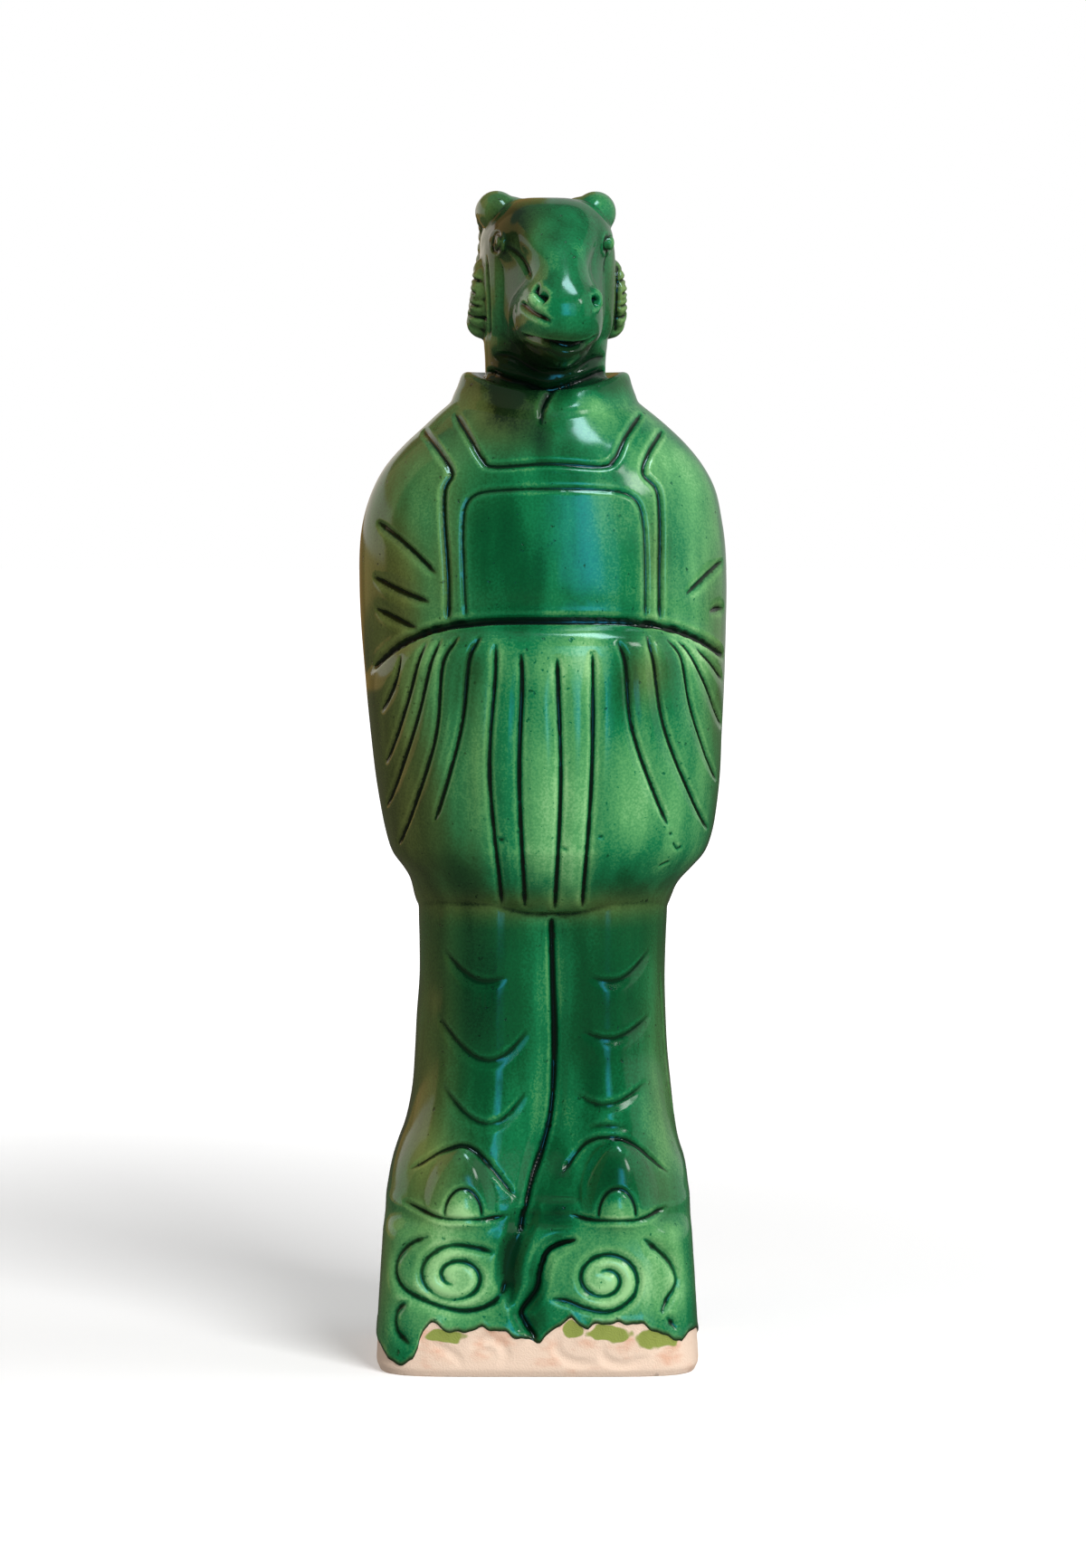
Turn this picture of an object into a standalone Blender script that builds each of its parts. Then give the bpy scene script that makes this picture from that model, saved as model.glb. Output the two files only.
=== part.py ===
"""Zodiac goat figure: a robed, ram-headed attendant on a cloud base, moulded in one piece of glazed pottery.

Frame: +Z up, the face looks along -Y, the origin is on the flat underside, under the bounding box's middle.
The figure's forms are design millimetres above the ground, which turn into shares of FIGURE_HEIGHT;
the cloud base has sizes of its own. Run with: blender --background --python part.py
"""

import math
from typing import NamedTuple

import bmesh
import bpy
import numpy as np
from mathutils import Vector
from mathutils.bvhtree import BVHTree

MM = 0.001  # metres

FIGURE_HEIGHT = 218.0 * MM  # from the top of the cloud base to the tips of the horns
BASE_HEIGHT = 32.0 * MM
BASE_WIDTH = 69.4 * MM
BASE_DEPTH = 58.0 * MM
BASE_TAPER = 1.8 * MM  # how far each side of the base leans in, from its foot to its top
BASE_FOOT_ROUND = 1.4 * MM
BASE_CENTRE_X = -1.2 * MM
BASE_CENTRE_Y = -2.4 * MM
BASE_SQUARENESS = 6.0
ROBE_INSET = 0.2 * MM  # the robe's hem stands this far inside the edge of the base

DESIGN_FIGURE = 218.0  # the sizes that the design millimetres below are drawn for
DESIGN_BASE = 32.0
DESIGN_BASE_WIDTH = 69.4
DESIGN_BASE_DEPTH = 58.0
SHARE = FIGURE_HEIGHT / DESIGN_FIGURE

HEAD_CENTRE_X = 0.9
HEAD_TURN = math.radians(8.0)  # the goat looks a little to its left

GRAIN = 0.7 * MM  # voxel that fuses the forms, and so the finest edge
LINE_STEP = 0.4 * MM  # spacing of the points of a carved line
SMOOTHING_PASSES = 3
TRIANGLES = 9400
CUT_DEPTH = 6.0 * MM  # the forms run this far below the ground before the underside is cut flat

GLAZE_GREEN = (0.035, 0.235, 0.105, 1.0)

# Each row of a form is: height, centre x, half width, reach to the front, reach to the back, squareness.
ROBE_ROWS = (
    (18.0, -1.2, 32.0, 24.0, 24.0, 3.2),
    (33.0, -1.1, 32.4, 28.6, 24.6, 4.6),
    (38.0, -1.1, 32.0, 27.9, 24.4, 4.2),
    (42.0, -1.0, 31.4, 27.1, 24.2, 3.7),
    (46.0, -1.0, 30.2, 26.2, 24.0, 3.2),
    (51.0, -0.6, 28.9, 25.4, 23.8, 2.9),
    (58.0, -0.3, 27.9, 24.8, 23.6, 2.7),
    (66.0, -0.4, 27.2, 24.4, 23.4, 2.6),
    (74.0, -0.4, 26.8, 24.3, 23.2, 2.6),
    (82.0, -0.2, 26.4, 24.2, 23.0, 2.6),
    (90.0, -0.1, 26.5, 24.2, 22.8, 2.6),
    (98.0, 0.0, 26.7, 24.0, 22.6, 2.6),
    (108.0, 0.3, 26.2, 23.0, 22.0, 2.6),
    (114.0, 0.3, 22.0, 20.0, 20.0, 2.4),
)
SLEEVE_ROWS = (
    (96.8, 0.0, 21.0, 16.0, 19.0, 2.3),
    (97.4, 0.0, 26.4, 19.6, 22.4, 2.4),
    (99.0, 0.0, 27.5, 21.2, 24.2, 2.4),
    (101.5, 0.2, 28.3, 22.6, 25.2, 2.4),
    (103.5, 0.6, 29.3, 23.6, 25.8, 2.4),
    (105.8, 1.0, 31.1, 24.4, 26.4, 2.4),
    (109.0, 1.2, 33.6, 25.2, 27.2, 2.4),
    (113.5, 1.3, 35.1, 25.8, 27.7, 2.4),
    (119.0, 1.2, 36.1, 26.2, 28.0, 2.4),
    (126.0, 1.0, 37.0, 26.5, 28.1, 2.4),
    (134.0, 0.7, 37.6, 26.6, 28.1, 2.4),
    (142.0, 0.5, 38.2, 26.4, 28.0, 2.4),
    (150.0, 0.3, 38.7, 26.3, 27.8, 2.4),
    (158.0, 0.1, 39.1, 26.6, 27.5, 2.4),
    (166.0, 0.0, 39.3, 26.9, 27.0, 2.4),
    (174.0, -0.1, 39.1, 26.7, 26.2, 2.35),
    (180.0, -0.1, 38.3, 25.9, 25.2, 2.3),
    (186.0, 0.2, 36.7, 24.8, 23.8, 2.25),
    (191.0, 0.3, 34.1, 23.4, 21.8, 2.2),
    (195.5, 0.5, 30.4, 21.6, 19.4, 2.15),
    (199.5, 0.6, 26.2, 19.4, 17.0, 2.1),
    (203.0, 0.4, 22.2, 17.0, 14.8, 2.1),
    (206.0, 0.3, 18.0, 14.0, 12.6, 2.1),
    (208.0, 0.3, 12.0, 10.0, 9.0, 2.0),
)
COLLAR_ROWS = (
    (196.0, 0.3, 20.0, 19.6, 15.0, 2.1),
    (200.5, 0.3, 20.6, 18.6, 15.4, 2.1),
    (205.0, 0.3, 19.9, 17.4, 15.3, 2.1),
    (208.4, 0.4, 18.6, 16.0, 14.6, 2.1),
    (210.6, 0.5, 17.9, 15.2, 14.2, 2.1),
    (211.3, 0.5, 16.9, 14.4, 13.4, 2.1),
    (211.1, 0.5, 15.4, 13.2, 12.5, 2.1),
    (210.0, 0.5, 13.4, 11.6, 11.4, 2.1),
    (206.5, 0.5, 10.5, 9.5, 9.0, 2.1),
)
COLLAR_DIP = 4.0  # how much lower the collar's rim is at the throat
NECK_ROWS = (
    (203.0, 0.5, 12.6, 11.0, 11.0, 2.2),
    (209.0, 0.5, 12.8, 11.2, 11.2, 2.2),
    (214.0, 0.5, 12.9, 11.6, 11.4, 2.3),
    (219.0, 0.6, 13.2, 12.0, 12.0, 2.4),
    (226.0, 0.7, 12.4, 11.0, 12.0, 2.4),
)
SKULL_ROWS = (
    (216.4, 0.0, 8.5, 6.0, 8.5, 2.6),
    (217.8, 0.0, 12.0, 9.0, 11.0, 2.8),
    (220.5, 0.0, 13.6, 11.5, 12.4, 3.1),
    (226.0, 0.0, 14.1, 12.5, 13.4, 3.3),
    (232.0, 0.0, 14.2, 12.5, 13.8, 3.3),
    (238.0, 0.0, 14.0, 11.5, 13.2, 3.0),
    (242.0, 0.0, 12.9, 9.0, 12.0, 2.6),
    (245.5, 0.0, 10.8, 8.0, 10.2, 2.4),
    (247.4, 0.0, 8.2, 6.0, 8.2, 2.3),
    (248.2, 0.0, 4.5, 3.5, 4.8, 2.1),
)
# Rows of the cheeks and the muzzle have one more number: the share of its width that a ring loses to the front.
CHEEK_ROWS = (
    (216.6, 0.0, 9.6, 12.0, 8.0, 2.5, 0.30),
    (217.6, 0.0, 11.6, 16.0, 10.0, 2.6, 0.36),
    (219.2, 0.0, 13.2, 20.0, 11.0, 2.8, 0.42),
    (222.0, 0.0, 13.9, 23.0, 12.0, 3.0, 0.48),
    (226.0, 0.0, 14.2, 24.0, 12.0, 3.0, 0.50),
    (230.0, 0.0, 14.3, 23.0, 12.0, 3.0, 0.48),
    (233.5, 0.0, 14.2, 21.0, 12.0, 3.0, 0.40),
    (236.5, 0.0, 14.1, 19.0, 12.0, 3.1, 0.26),
    (239.5, 0.0, 14.1, 17.6, 11.0, 3.2, 0.14),
    (242.2, 0.0, 13.2, 15.8, 10.0, 3.1, 0.10),
    (244.8, 0.0, 11.4, 13.4, 9.0, 2.9, 0.08),
    (246.8, 0.0, 9.0, 10.6, 7.0, 2.6, 0.05),
    (247.9, 0.0, 5.8, 7.0, 5.0, 2.3, 0.0),
)
MUZZLE_ROWS = (
    (211.8, 0.0, 2.4, 24.4, 2.0, 2.1, 0.05),
    (212.6, 0.0, 4.6, 26.8, 2.0, 2.2, 0.06),
    (214.0, 0.0, 6.5, 28.6, 3.0, 2.4, 0.06),
    (215.6, 0.0, 7.6, 29.4, 4.0, 2.6, 0.06),
    (216.8, 0.0, 8.3, 29.4, 5.0, 2.7, 0.06),
    (217.8, 0.0, 9.2, 30.6, 6.0, 2.8, 0.05),
    (219.6, 0.0, 10.0, 32.0, 6.0, 2.9, 0.05),
    (222.5, 0.0, 10.3, 32.7, 6.0, 3.0, 0.05),
    (225.5, 0.0, 10.1, 32.4, 6.0, 3.0, 0.05),
    (228.0, 0.0, 9.3, 31.2, 6.0, 2.9, 0.05),
    (230.3, 0.0, 8.2, 29.4, 6.0, 2.7, 0.04),
    (232.6, 0.0, 7.9, 27.3, 6.0, 2.6, 0.04),
    (235.2, 0.0, 8.7, 24.8, 6.0, 2.6, 0.04),
    (238.0, 0.0, 10.2, 22.0, 6.0, 2.8, 0.04),
    (241.0, 0.0, 11.4, 18.8, 6.0, 2.9, 0.04),
    (244.0, 0.0, 11.0, 15.2, 5.0, 2.8, 0.04),
    (246.3, 0.0, 9.4, 11.8, 4.0, 2.6, 0.04),
    (247.7, 0.0, 6.6, 8.0, 3.0, 2.3, 0.0),
)
# Path of the horn on the goat's left: x, y, height, radius. The other one mirrors it.
HORN_PATH = (
    (8.8, -1.5, 241.0, 3.6),
    (10.4, 0.0, 244.9, 4.4),
    (10.7, 5.0, 245.2, 4.2),
    (9.9, 9.5, 242.2, 3.8),
    (10.0, 12.0, 236.4, 3.7),
    (11.4, 11.0, 228.8, 3.7),
    (12.8, 6.5, 223.4, 3.6),
    (13.6, 2.4, 221.8, 3.5),
    (13.9, -1.2, 225.0, 3.3),
    (13.9, -2.2, 230.0, 2.9),
    (13.6, 0.2, 233.4, 2.2),
    (13.2, 3.4, 233.0, 1.3),
)
HORN_RING_SPACING = 2.7
HORN_RING_RELIEF = 0.22  # share of the horn's radius
EYE = ((11.9, -12.3, 238.3), (1.5, 2.1, 2.2))  # centre and half sizes of the eye on the goat's left
NOSTRIL_BUMP = ((5.3, -27.6, 226.2), (2.7, 2.6, 2.7))
HORN_ROOT = ((8.0, 2.5, 244.3), (5.6, 7.5, 4.4))

SHOES = ((-16.8, 0.0), (15.6, 1.4))  # middle of each shoe, and how much higher its instep is drawn
SHOE_ROWS = (
    (29.5, 0.0, 12.2, 28.6, 0.0, 2.9),
    (33.0, 0.0, 12.6, 30.6, 0.0, 2.9),
    (36.5, 0.0, 12.5, 30.7, 0.0, 2.7),
    (40.0, 0.0, 11.8, 30.1, 0.0, 2.5),
    (43.5, 0.0, 9.9, 29.0, 0.0, 2.4),
    (46.4, 0.0, 7.0, 27.4, 0.0, 2.3),
    (47.8, 0.0, 3.4, 25.8, 0.0, 2.1),
)
TOE_CAP = (3.7, 1.9, 5.9)  # half sizes of the small cap on each toe
TOE_CAP_AT = (-29.7, 33.6)
SOLE_HEIGHT = 32.6

DRAPE_PUSH = 6.6  # how far the cloth over the hands stands out from the chest
DRAPE_ROUND = 6.5  # height over which its top rolls over
DRAPE_CREST = 158.6
DRAPE_CREST_X = 2.5
DRAPE_HALF_WIDTH = 38.0
DRAPE_FALL = 9.8  # how much lower the crest is at the ends of that width

LEG_VALLEY_X = 2.0
LEG_VALLEY_DEPTH = 4.6
LEG_VALLEY_REACH = 14.0
LEG_VALLEY_RISE = 16.0  # height above the base where the valley has its full depth
LEG_VALLEY_END = 0.2  # share of the depth that is left at the base


# Lines carved into the front. Rows of a line with two sides are: x on the left, x on the right, height.
NECKLINE = ((-18.8, 21.0, 202.6), (-15.6, 17.5, 197.6), (-12.9, 15.2, 193.0), (-10.2, 12.2, 191.4))
NECKLINE_MIDDLE = (1.2, 192.0)
BIB_EDGE = (
    (-25.5, 25.5, 199.0), (-21.7, 22.4, 194.2), (-19.3, 21.2, 190.0), (-20.7, 24.0, 186.6),
    (-20.8, 24.7, 180.5), (-20.0, 24.6, 168.8), (-19.9, 24.6, 158.4),
)
BIB_PANEL = (
    (-16.1, 21.5, 158.8), (-16.6, 21.5, 169.0), (-16.8, 21.2, 178.0), (-16.2, 20.2, 183.2),
    (-13.6, 17.4, 185.7), (-7.4, 11.4, 186.5),
)
BIB_PANEL_MIDDLE = (2.3, 186.7)
SLEEVE_FOLDS = (
    ((-35.3, 179.8), (-28.9, 174.8), (-22.2, 168.7)),
    ((-36.1, 168.1), (-30.5, 165.3), (-23.6, 162.8)),
    ((-35.6, 161.4), (-31.7, 159.5), (-26.4, 157.2)),
    ((38.3, 171.2), (34.7, 168.1), (29.9, 164.2)),
    ((38.6, 161.1), (37.2, 161.2), (35.2, 160.6)),
)
# A pleat's x where it starts under the crest, near its top, half way down and at its foot; the foot's height.
PLEATS = (
    (-29.8, -30.3, -31.6, -34.2, 139.5),
    (-24.4, -26.4, -29.1, -33.3, 128.6),
    (-21.4, -23.8, -27.2, -33.3, 119.1),
    (-17.6, -21.3, -23.2, -30.8, 111.0),
    (-12.9, -15.6, -17.4, -22.9, 116.8),
    (-9.8, -10.1, -11.3, -8.8, 101.3),
    (-4.6, -4.4, -5.0, -3.8, 100.8),
    (2.9, 3.2, 3.7, 2.6, 100.2),
    (10.3, 10.5, 10.2, 8.4, 100.2),
    (15.6, 17.4, 19.1, 26.4, 115.9),
    (21.7, 23.4, 26.2, 35.1, 114.3),
    (25.7, 29.4, 31.7, 36.9, 124.7),
    (28.0, 31.0, 34.7, 38.1, 136.2),
    (32.0, 33.2, 36.0, 38.2, 146.0),
)
PLEAT_START = 1.5  # how far below the crest the outer pleats start, and how much more the middle ones
PLEAT_START_MIDDLE = 5.0
BACK_PLEATS = (-21.0, -10.5, 0.0, 10.5, 21.0)
# Sagging folds on the legs: x and height of one end, of the lowest point and of the other end.
LEG_FOLDS = (
    ((-21.1, 89.5), (-12.2, 82.9), (-7.5, 84.3)),
    ((-22.1, 75.1), (-11.5, 66.2), (-3.0, 72.9)),
    ((-21.3, 60.6), (-11.5, 52.9), (-3.5, 59.7)),
    ((9.5, 84.3), (14.6, 82.9), (22.8, 89.5)),
    ((8.2, 72.5), (14.0, 70.7), (22.8, 75.5)),
    ((7.2, 59.2), (12.5, 56.7), (22.0, 61.4)),
    ((9.3, 51.6), (12.9, 52.4), (18.2, 51.9)),
)
LEG_SEAM = ((1.8, 95.4), (2.1, 84.2), (2.4, 68.0), (1.6, 54.1), (-1.9, 42.0), (-5.0, 31.0))
LEG_SIDE_FOLD = ((24.8, 84.1), (26.4, 62.0), (29.0, 47.4))
SHOE_ARCHES = (
    ((-28.4, 42.6), (-20.4, 47.4), (-14.4, 47.4), (-5.6, 37.6)),
    ((3.8, 42.0), (9.6, 49.0), (17.6, 49.2), (27.0, 41.8)),
)
SHOE_FEET = (
    ((-29.6, 36.6), (-22.0, 33.6), (-14.0, 33.2), (-7.4, 34.0)),
    ((5.6, 34.4), (10.2, 33.1), (19.9, 33.1), (26.4, 35.6)),
)
THROAT = ((1.5, 207.6), (0.6, 205.0), (-0.3, 202.0), (-2.8, 198.6))
COLLAR_SEAM = (
    (-14.2, 212.4), (-8.8, 209.9), (-3.9, 208.7), (0.7, 207.5), (6.4, 208.7), (12.0, 210.8), (15.8, 212.6),
)
# On the face, as seen from the front.
MOUTH = ((-4.6, 218.9), (-2.6, 217.9), (1.4, 217.0), (5.6, 216.3), (8.6, 217.0), (11.2, 218.5))
LIP_FOLD = ((-4.6, 225.9), (-2.0, 223.6), (1.3, 221.8))
TEAR_LINES = (((-8.1, 237.8), (-5.2, 235.6), (-2.4, 230.6)), ((13.9, 237.4), (13.1, 234.6), (12.8, 231.6)))
NOSTRILS = (((-1.3, 228.2), (0.3, 225.9)), ((11.4, 226.6), (10.6, 225.0)))
THROAT_FOLDS = (
    ((-10.6, 214.8), (-7.2, 214.4), (-4.8, 213.3), (-2.0, 211.6), (1.0, 210.6)),
    ((6.6, 211.2), (10.2, 213.6), (13.2, 214.4)),
)
HORN_CLEFTS = (((-12.0, 236.0), (-11.5, 227.0), (-11.3, 218.5)), ((16.0, 235.0), (15.9, 227.0), (15.6, 219.5)))

# On the front of the base. A spiral: centre, first radius, growth in a turn, first angle, turns, stretch.
CLOUD_SPIRALS = (
    ((-18.4, 21.2), 1.5, 3.4, -90.0, 1.5, 1.25, ((-13.8, 27.2), (-9.7, 26.1))),
    ((13.0, 20.6), 1.3, 3.3, 150.0, 1.667, 1.15, ((8.6, 14.6), (5.3, 16.0), (1.3, 16.7))),
)
CLOUD_EDGES = (
    ((-23.7, 29.9), (-28.6, 27.6), (-31.6, 23.4), (-30.4, 19.0), (-24.8, 16.0), (-16.4, 14.0), (-10.2, 16.0),
     (-7.6, 20.6)),
    ((-28.3, 16.3), (-31.4, 13.2), (-31.2, 9.4), (-27.8, 6.5)),
    ((20.9, 29.4), (26.6, 24.4), (28.6, 19.9), (26.4, 16.2), (24.7, 13.3)),
    ((25.9, 13.0), (28.4, 9.6)),
)
CLOUD_VALLEY = ((-2.4, 39.0), (-3.6, 34.0), (-5.0, 30.0), (-7.0, 25.0), (-7.4, 20.0), (-6.4, 14.5))
CLOUD_CRACK = (
    (7.3, 29.1), (3.0, 27.8), (0.6, 26.0), (-0.6, 22.5), (-1.4, 18.5), (-4.4, 14.2), (-4.1, 12.2),
    (-2.2, 9.2), (-1.0, 7.6),
)
SIDE_SPIRAL = (1.5, 3.3, -90.0, 1.75, 1.25)
SIDE_SPIRAL_HEIGHT = 19.0


class Line(NamedTuple):
    """A carved line: where it runs on the surface, and its half width and depth there.

    A broad line is a soft valley, and the other lines are cut into it.
    """

    points: np.ndarray
    half_width: np.ndarray
    depth: np.ndarray
    broad: bool


def design_to_world(points):
    """Points in design millimetres, as metres: the figure keeps its shape and stands on the base."""
    placed = np.array(points, float).reshape(-1, 3)
    placed[:, :2] *= SHARE
    placed[:, 2] = BASE_HEIGHT + (placed[:, 2] - DESIGN_BASE) * SHARE
    return placed


def base_to_world(points):
    """Points on the base's front, drawn in design millimetres, as metres on a base of any size."""
    placed = np.array(points, float).reshape(-1, 3)
    placed[:, 0] *= BASE_WIDTH / DESIGN_BASE_WIDTH
    placed[:, 1] *= BASE_DEPTH / DESIGN_BASE_DEPTH
    placed[:, 2] *= BASE_HEIGHT / DESIGN_BASE
    return placed


def through(rows, steps):
    """A smooth Catmull-Rom path through the rows, with that many points from row to row."""
    knots = np.array(rows, float)
    knots = np.vstack([2 * knots[0] - knots[1], knots, 2 * knots[-1] - knots[-2]])
    share = np.arange(steps)[:, None] / steps
    pieces = []
    for a, b, c, d in zip(knots[:-3], knots[1:-2], knots[2:-1], knots[3:]):
        pieces.append(
            0.5 * (2 * b + (c - a) * share + (2 * a - 5 * b + 4 * c - d) * share**2
                   + (3 * b - a - 3 * c + d) * share**3)
        )
    return np.vstack([*pieces, knots[-2:-1]])


def section(row, columns):
    """One ring of a form: a superellipse with its own reach to the front and to the back."""
    height, centre, half_width, front, back, squareness = row[:6]
    turn = np.arange(columns) / columns * math.tau
    across, along = np.cos(turn), np.sin(turn)
    power = 2.0 / squareness
    x = centre + half_width * np.sign(across) * np.abs(across) ** power
    y = np.where(along < 0, front, back) * np.sign(along) * np.abs(along) ** power
    if len(row) > 6:
        x *= 1.0 - row[6] * np.clip(-y / front, 0.0, 1.0)
    return np.stack([x, y, np.full(columns, height)], axis=1)


def skin(rings):
    """A closed bmesh through rings of equally many points, with a cap at each end."""
    form = bmesh.new()
    loops = [[form.verts.new(p) for p in ring] for ring in rings]
    count = len(loops[0])
    for low, high in zip(loops[:-1], loops[1:]):
        for i in range(count):
            j = (i + 1) % count
            form.faces.new((low[i], low[j], high[j], high[i]))
    form.faces.new(loops[0][::-1])
    form.faces.new(loops[-1])
    bmesh.ops.recalc_face_normals(form, faces=form.faces)
    return form


def add_form(forms, rings):
    """Adds the skin through the rings to the forms that are going to be fused."""
    mesh = bpy.data.meshes.new("form")
    form = skin(rings)
    form.to_mesh(mesh)
    form.free()
    forms.append(bpy.data.objects.new("form", mesh))


def add_ellipsoid(forms, centre, radii, place):
    """Adds an ellipsoid whose points go through place()."""
    form = bmesh.new()
    bmesh.ops.create_uvsphere(form, u_segments=32, v_segments=20, radius=1.0)
    points = np.array([v.co for v in form.verts]) * radii + centre
    for vertex, point in zip(form.verts, place(points)):
        vertex.co = point
    mesh = bpy.data.meshes.new("form")
    form.to_mesh(mesh)
    form.free()
    forms.append(bpy.data.objects.new("form", mesh))


def lofted(rows, columns=96, steps=4, reshape=None, place=design_to_world):
    """World rings of a form that is given by its rows."""
    rings = []
    for row in through(rows, steps):
        ring = section(row, columns)
        if reshape:
            ring = reshape(ring, row)
        rings.append(place(ring))
    return rings


def frontness(ring, row):
    """0 at the sides and the back of a ring, 1 at the middle of its front."""
    return np.clip(-ring[:, 1] / row[3], 0.0, 1.0)


def drape_crest(x):
    """Height of the top edge of the cloth that hangs over the hands."""
    return DRAPE_CREST - DRAPE_FALL * ((x - DRAPE_CREST_X) / DRAPE_HALF_WIDTH) ** 4


def push_drape(ring, row):
    """Swells the front of the sleeves into the cloth that hangs over the clasped hands."""
    below = np.clip((drape_crest(ring[:, 0]) - ring[:, 2]) / DRAPE_ROUND, 0.0, 1.0)
    rolled = np.sqrt(1.0 - (1.0 - below) ** 2)
    hem = np.clip((row[0] - 96.8) / 14.0, 0.0, 1.0) ** 0.5
    ring[:, 1] -= DRAPE_PUSH * rolled * hem * frontness(ring, row) ** 0.8
    return ring


def part_legs(ring, row):
    """Presses a valley between the two legs into the front of the robe. It runs out towards the base."""
    depth = LEG_VALLEY_DEPTH * min(1.0, max(LEG_VALLEY_END, (row[0] - DESIGN_BASE) / LEG_VALLEY_RISE))
    away = np.clip(np.abs(ring[:, 0] - LEG_VALLEY_X) / LEG_VALLEY_REACH, 0.0, 1.0)
    valley = 0.5 * (1.0 + np.cos(math.pi * away))
    ring[:, 1] += depth * valley * frontness(ring, row)
    return ring


def dip_collar(ring, row):
    """Lets the collar's rim fall to the throat."""
    rise = np.clip((row[0] - 203.0) / 8.0, 0.0, 1.0)
    ring[:, 2] -= COLLAR_DIP * rise * frontness(ring, row) ** 2
    return ring


def toe_to_world(points):
    """Points of a toe's cap, which stops at the sole and has nothing below it."""
    points = np.array(points, float)
    points[:, 2] = np.maximum(points[:, 2], SOLE_HEIGHT)
    return design_to_world(points)


def head_to_world(points):
    """Points of the head, drawn looking straight along -Y, turned and set over the neck."""
    turned = np.array(points, float).reshape(-1, 3)
    x, y = turned[:, 0].copy(), turned[:, 1].copy()
    turned[:, 0] = HEAD_CENTRE_X + x * math.cos(HEAD_TURN) - y * math.sin(HEAD_TURN)
    turned[:, 1] = x * math.sin(HEAD_TURN) + y * math.cos(HEAD_TURN)
    return design_to_world(turned)


def base_rings(columns=120):
    """Rings of the cloud base, from under the ground to its top."""
    half_width, half_depth = BASE_WIDTH / 2, BASE_DEPTH / 2
    rows = [(-CUT_DEPTH, 2.0 * BASE_FOOT_ROUND)]
    for k in range(5):
        angle = math.pi / 2 * k / 4
        rows.append((BASE_FOOT_ROUND * math.sin(angle), 0.45 * BASE_FOOT_ROUND * (1 - math.sin(angle))))
    for k in range(1, 7):
        rows.append((BASE_FOOT_ROUND + (BASE_HEIGHT - 2 * BASE_FOOT_ROUND) * k / 6, BASE_TAPER * k / 6))
    rows.append((BASE_HEIGHT - 0.4 * BASE_FOOT_ROUND, BASE_TAPER + 0.3 * BASE_FOOT_ROUND))
    rows.append((BASE_HEIGHT, BASE_TAPER + BASE_FOOT_ROUND))
    rings = []
    for height, inset in rows:
        ring = section(
            (height, BASE_CENTRE_X, half_width - inset, half_depth - inset, half_depth - inset,
             BASE_SQUARENESS), columns)
        ring[:, 1] += BASE_CENTRE_Y
        rings.append(ring)
    return rings


def robe_rings():
    """Rings of the robe from inside the base to inside the sleeves. Its hem follows the base's width."""
    hem = (BASE_WIDTH / 2 - BASE_TAPER - ROBE_INSET) / SHARE
    drawn = ROBE_ROWS[1][2]
    rows = []
    for row in ROBE_ROWS:
        low = max(0.0, 1.0 - max(0.0, row[0] - DESIGN_BASE) / 26.0)
        rows.append((row[0], row[1], row[2] + (hem - drawn) * low, *row[3:]))
    return lofted(rows, reshape=part_legs)


def horn_object(side):
    """A curled ram's horn as a bevelled curve, with growth rings in its radius."""
    path = through(HORN_PATH, 14)
    points = head_to_world(path[:, :3] * (side, 1, 1))
    lengths = np.concatenate([[0.0], np.cumsum(np.linalg.norm(np.diff(points, axis=0), axis=1))])
    started = np.clip((lengths / SHARE - 4.0) / 8.0, 0.0, 1.0)
    notches = np.clip(np.cos(lengths / (HORN_RING_SPACING * SHARE) * math.tau), 0.0, 1.0) ** 3
    rings = 1.0 - HORN_RING_RELIEF * started * notches
    curve = bpy.data.curves.new("horn", "CURVE")
    curve.dimensions = "3D"
    curve.bevel_depth = SHARE
    curve.bevel_resolution = 6
    curve.use_fill_caps = True
    spline = curve.splines.new("POLY")
    spline.points.add(len(points) - 1)
    for knot, point, radius in zip(spline.points, points, path[:, 3] * rings):
        knot.co = (*point, 1.0)
        knot.radius = radius
    return bpy.data.objects.new("horn", curve)


def head_forms(forms):
    """Skull, cheeks, muzzle, eyes, nostrils and horns with their roots."""
    for rows in (SKULL_ROWS, CHEEK_ROWS, MUZZLE_ROWS):
        add_form(forms, lofted(rows, place=head_to_world))
    for side in (-1, 1):
        for centre, radii in (EYE, NOSTRIL_BUMP, HORN_ROOT):
            add_ellipsoid(forms, np.array(centre) * (side, 1, 1), radii, head_to_world)
        forms.append(horn_object(side))


def shoe_forms(forms):
    """The two shoes under the robe's hem, each with a round cap on its toe."""
    for centre_x, rise in SHOES:
        rows = []
        for height, _, *rest in SHOE_ROWS:
            lift = rise * max(0.0, height - SHOE_ROWS[1][0]) / (SHOE_ROWS[-1][0] - SHOE_ROWS[1][0])
            rows.append((height + lift, centre_x, rest[0], rest[1], 0.5, rest[3]))
        add_form(forms, lofted(rows))
        add_ellipsoid(forms, (centre_x, TOE_CAP_AT[0], TOE_CAP_AT[1]), TOE_CAP, toe_to_world)


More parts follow.
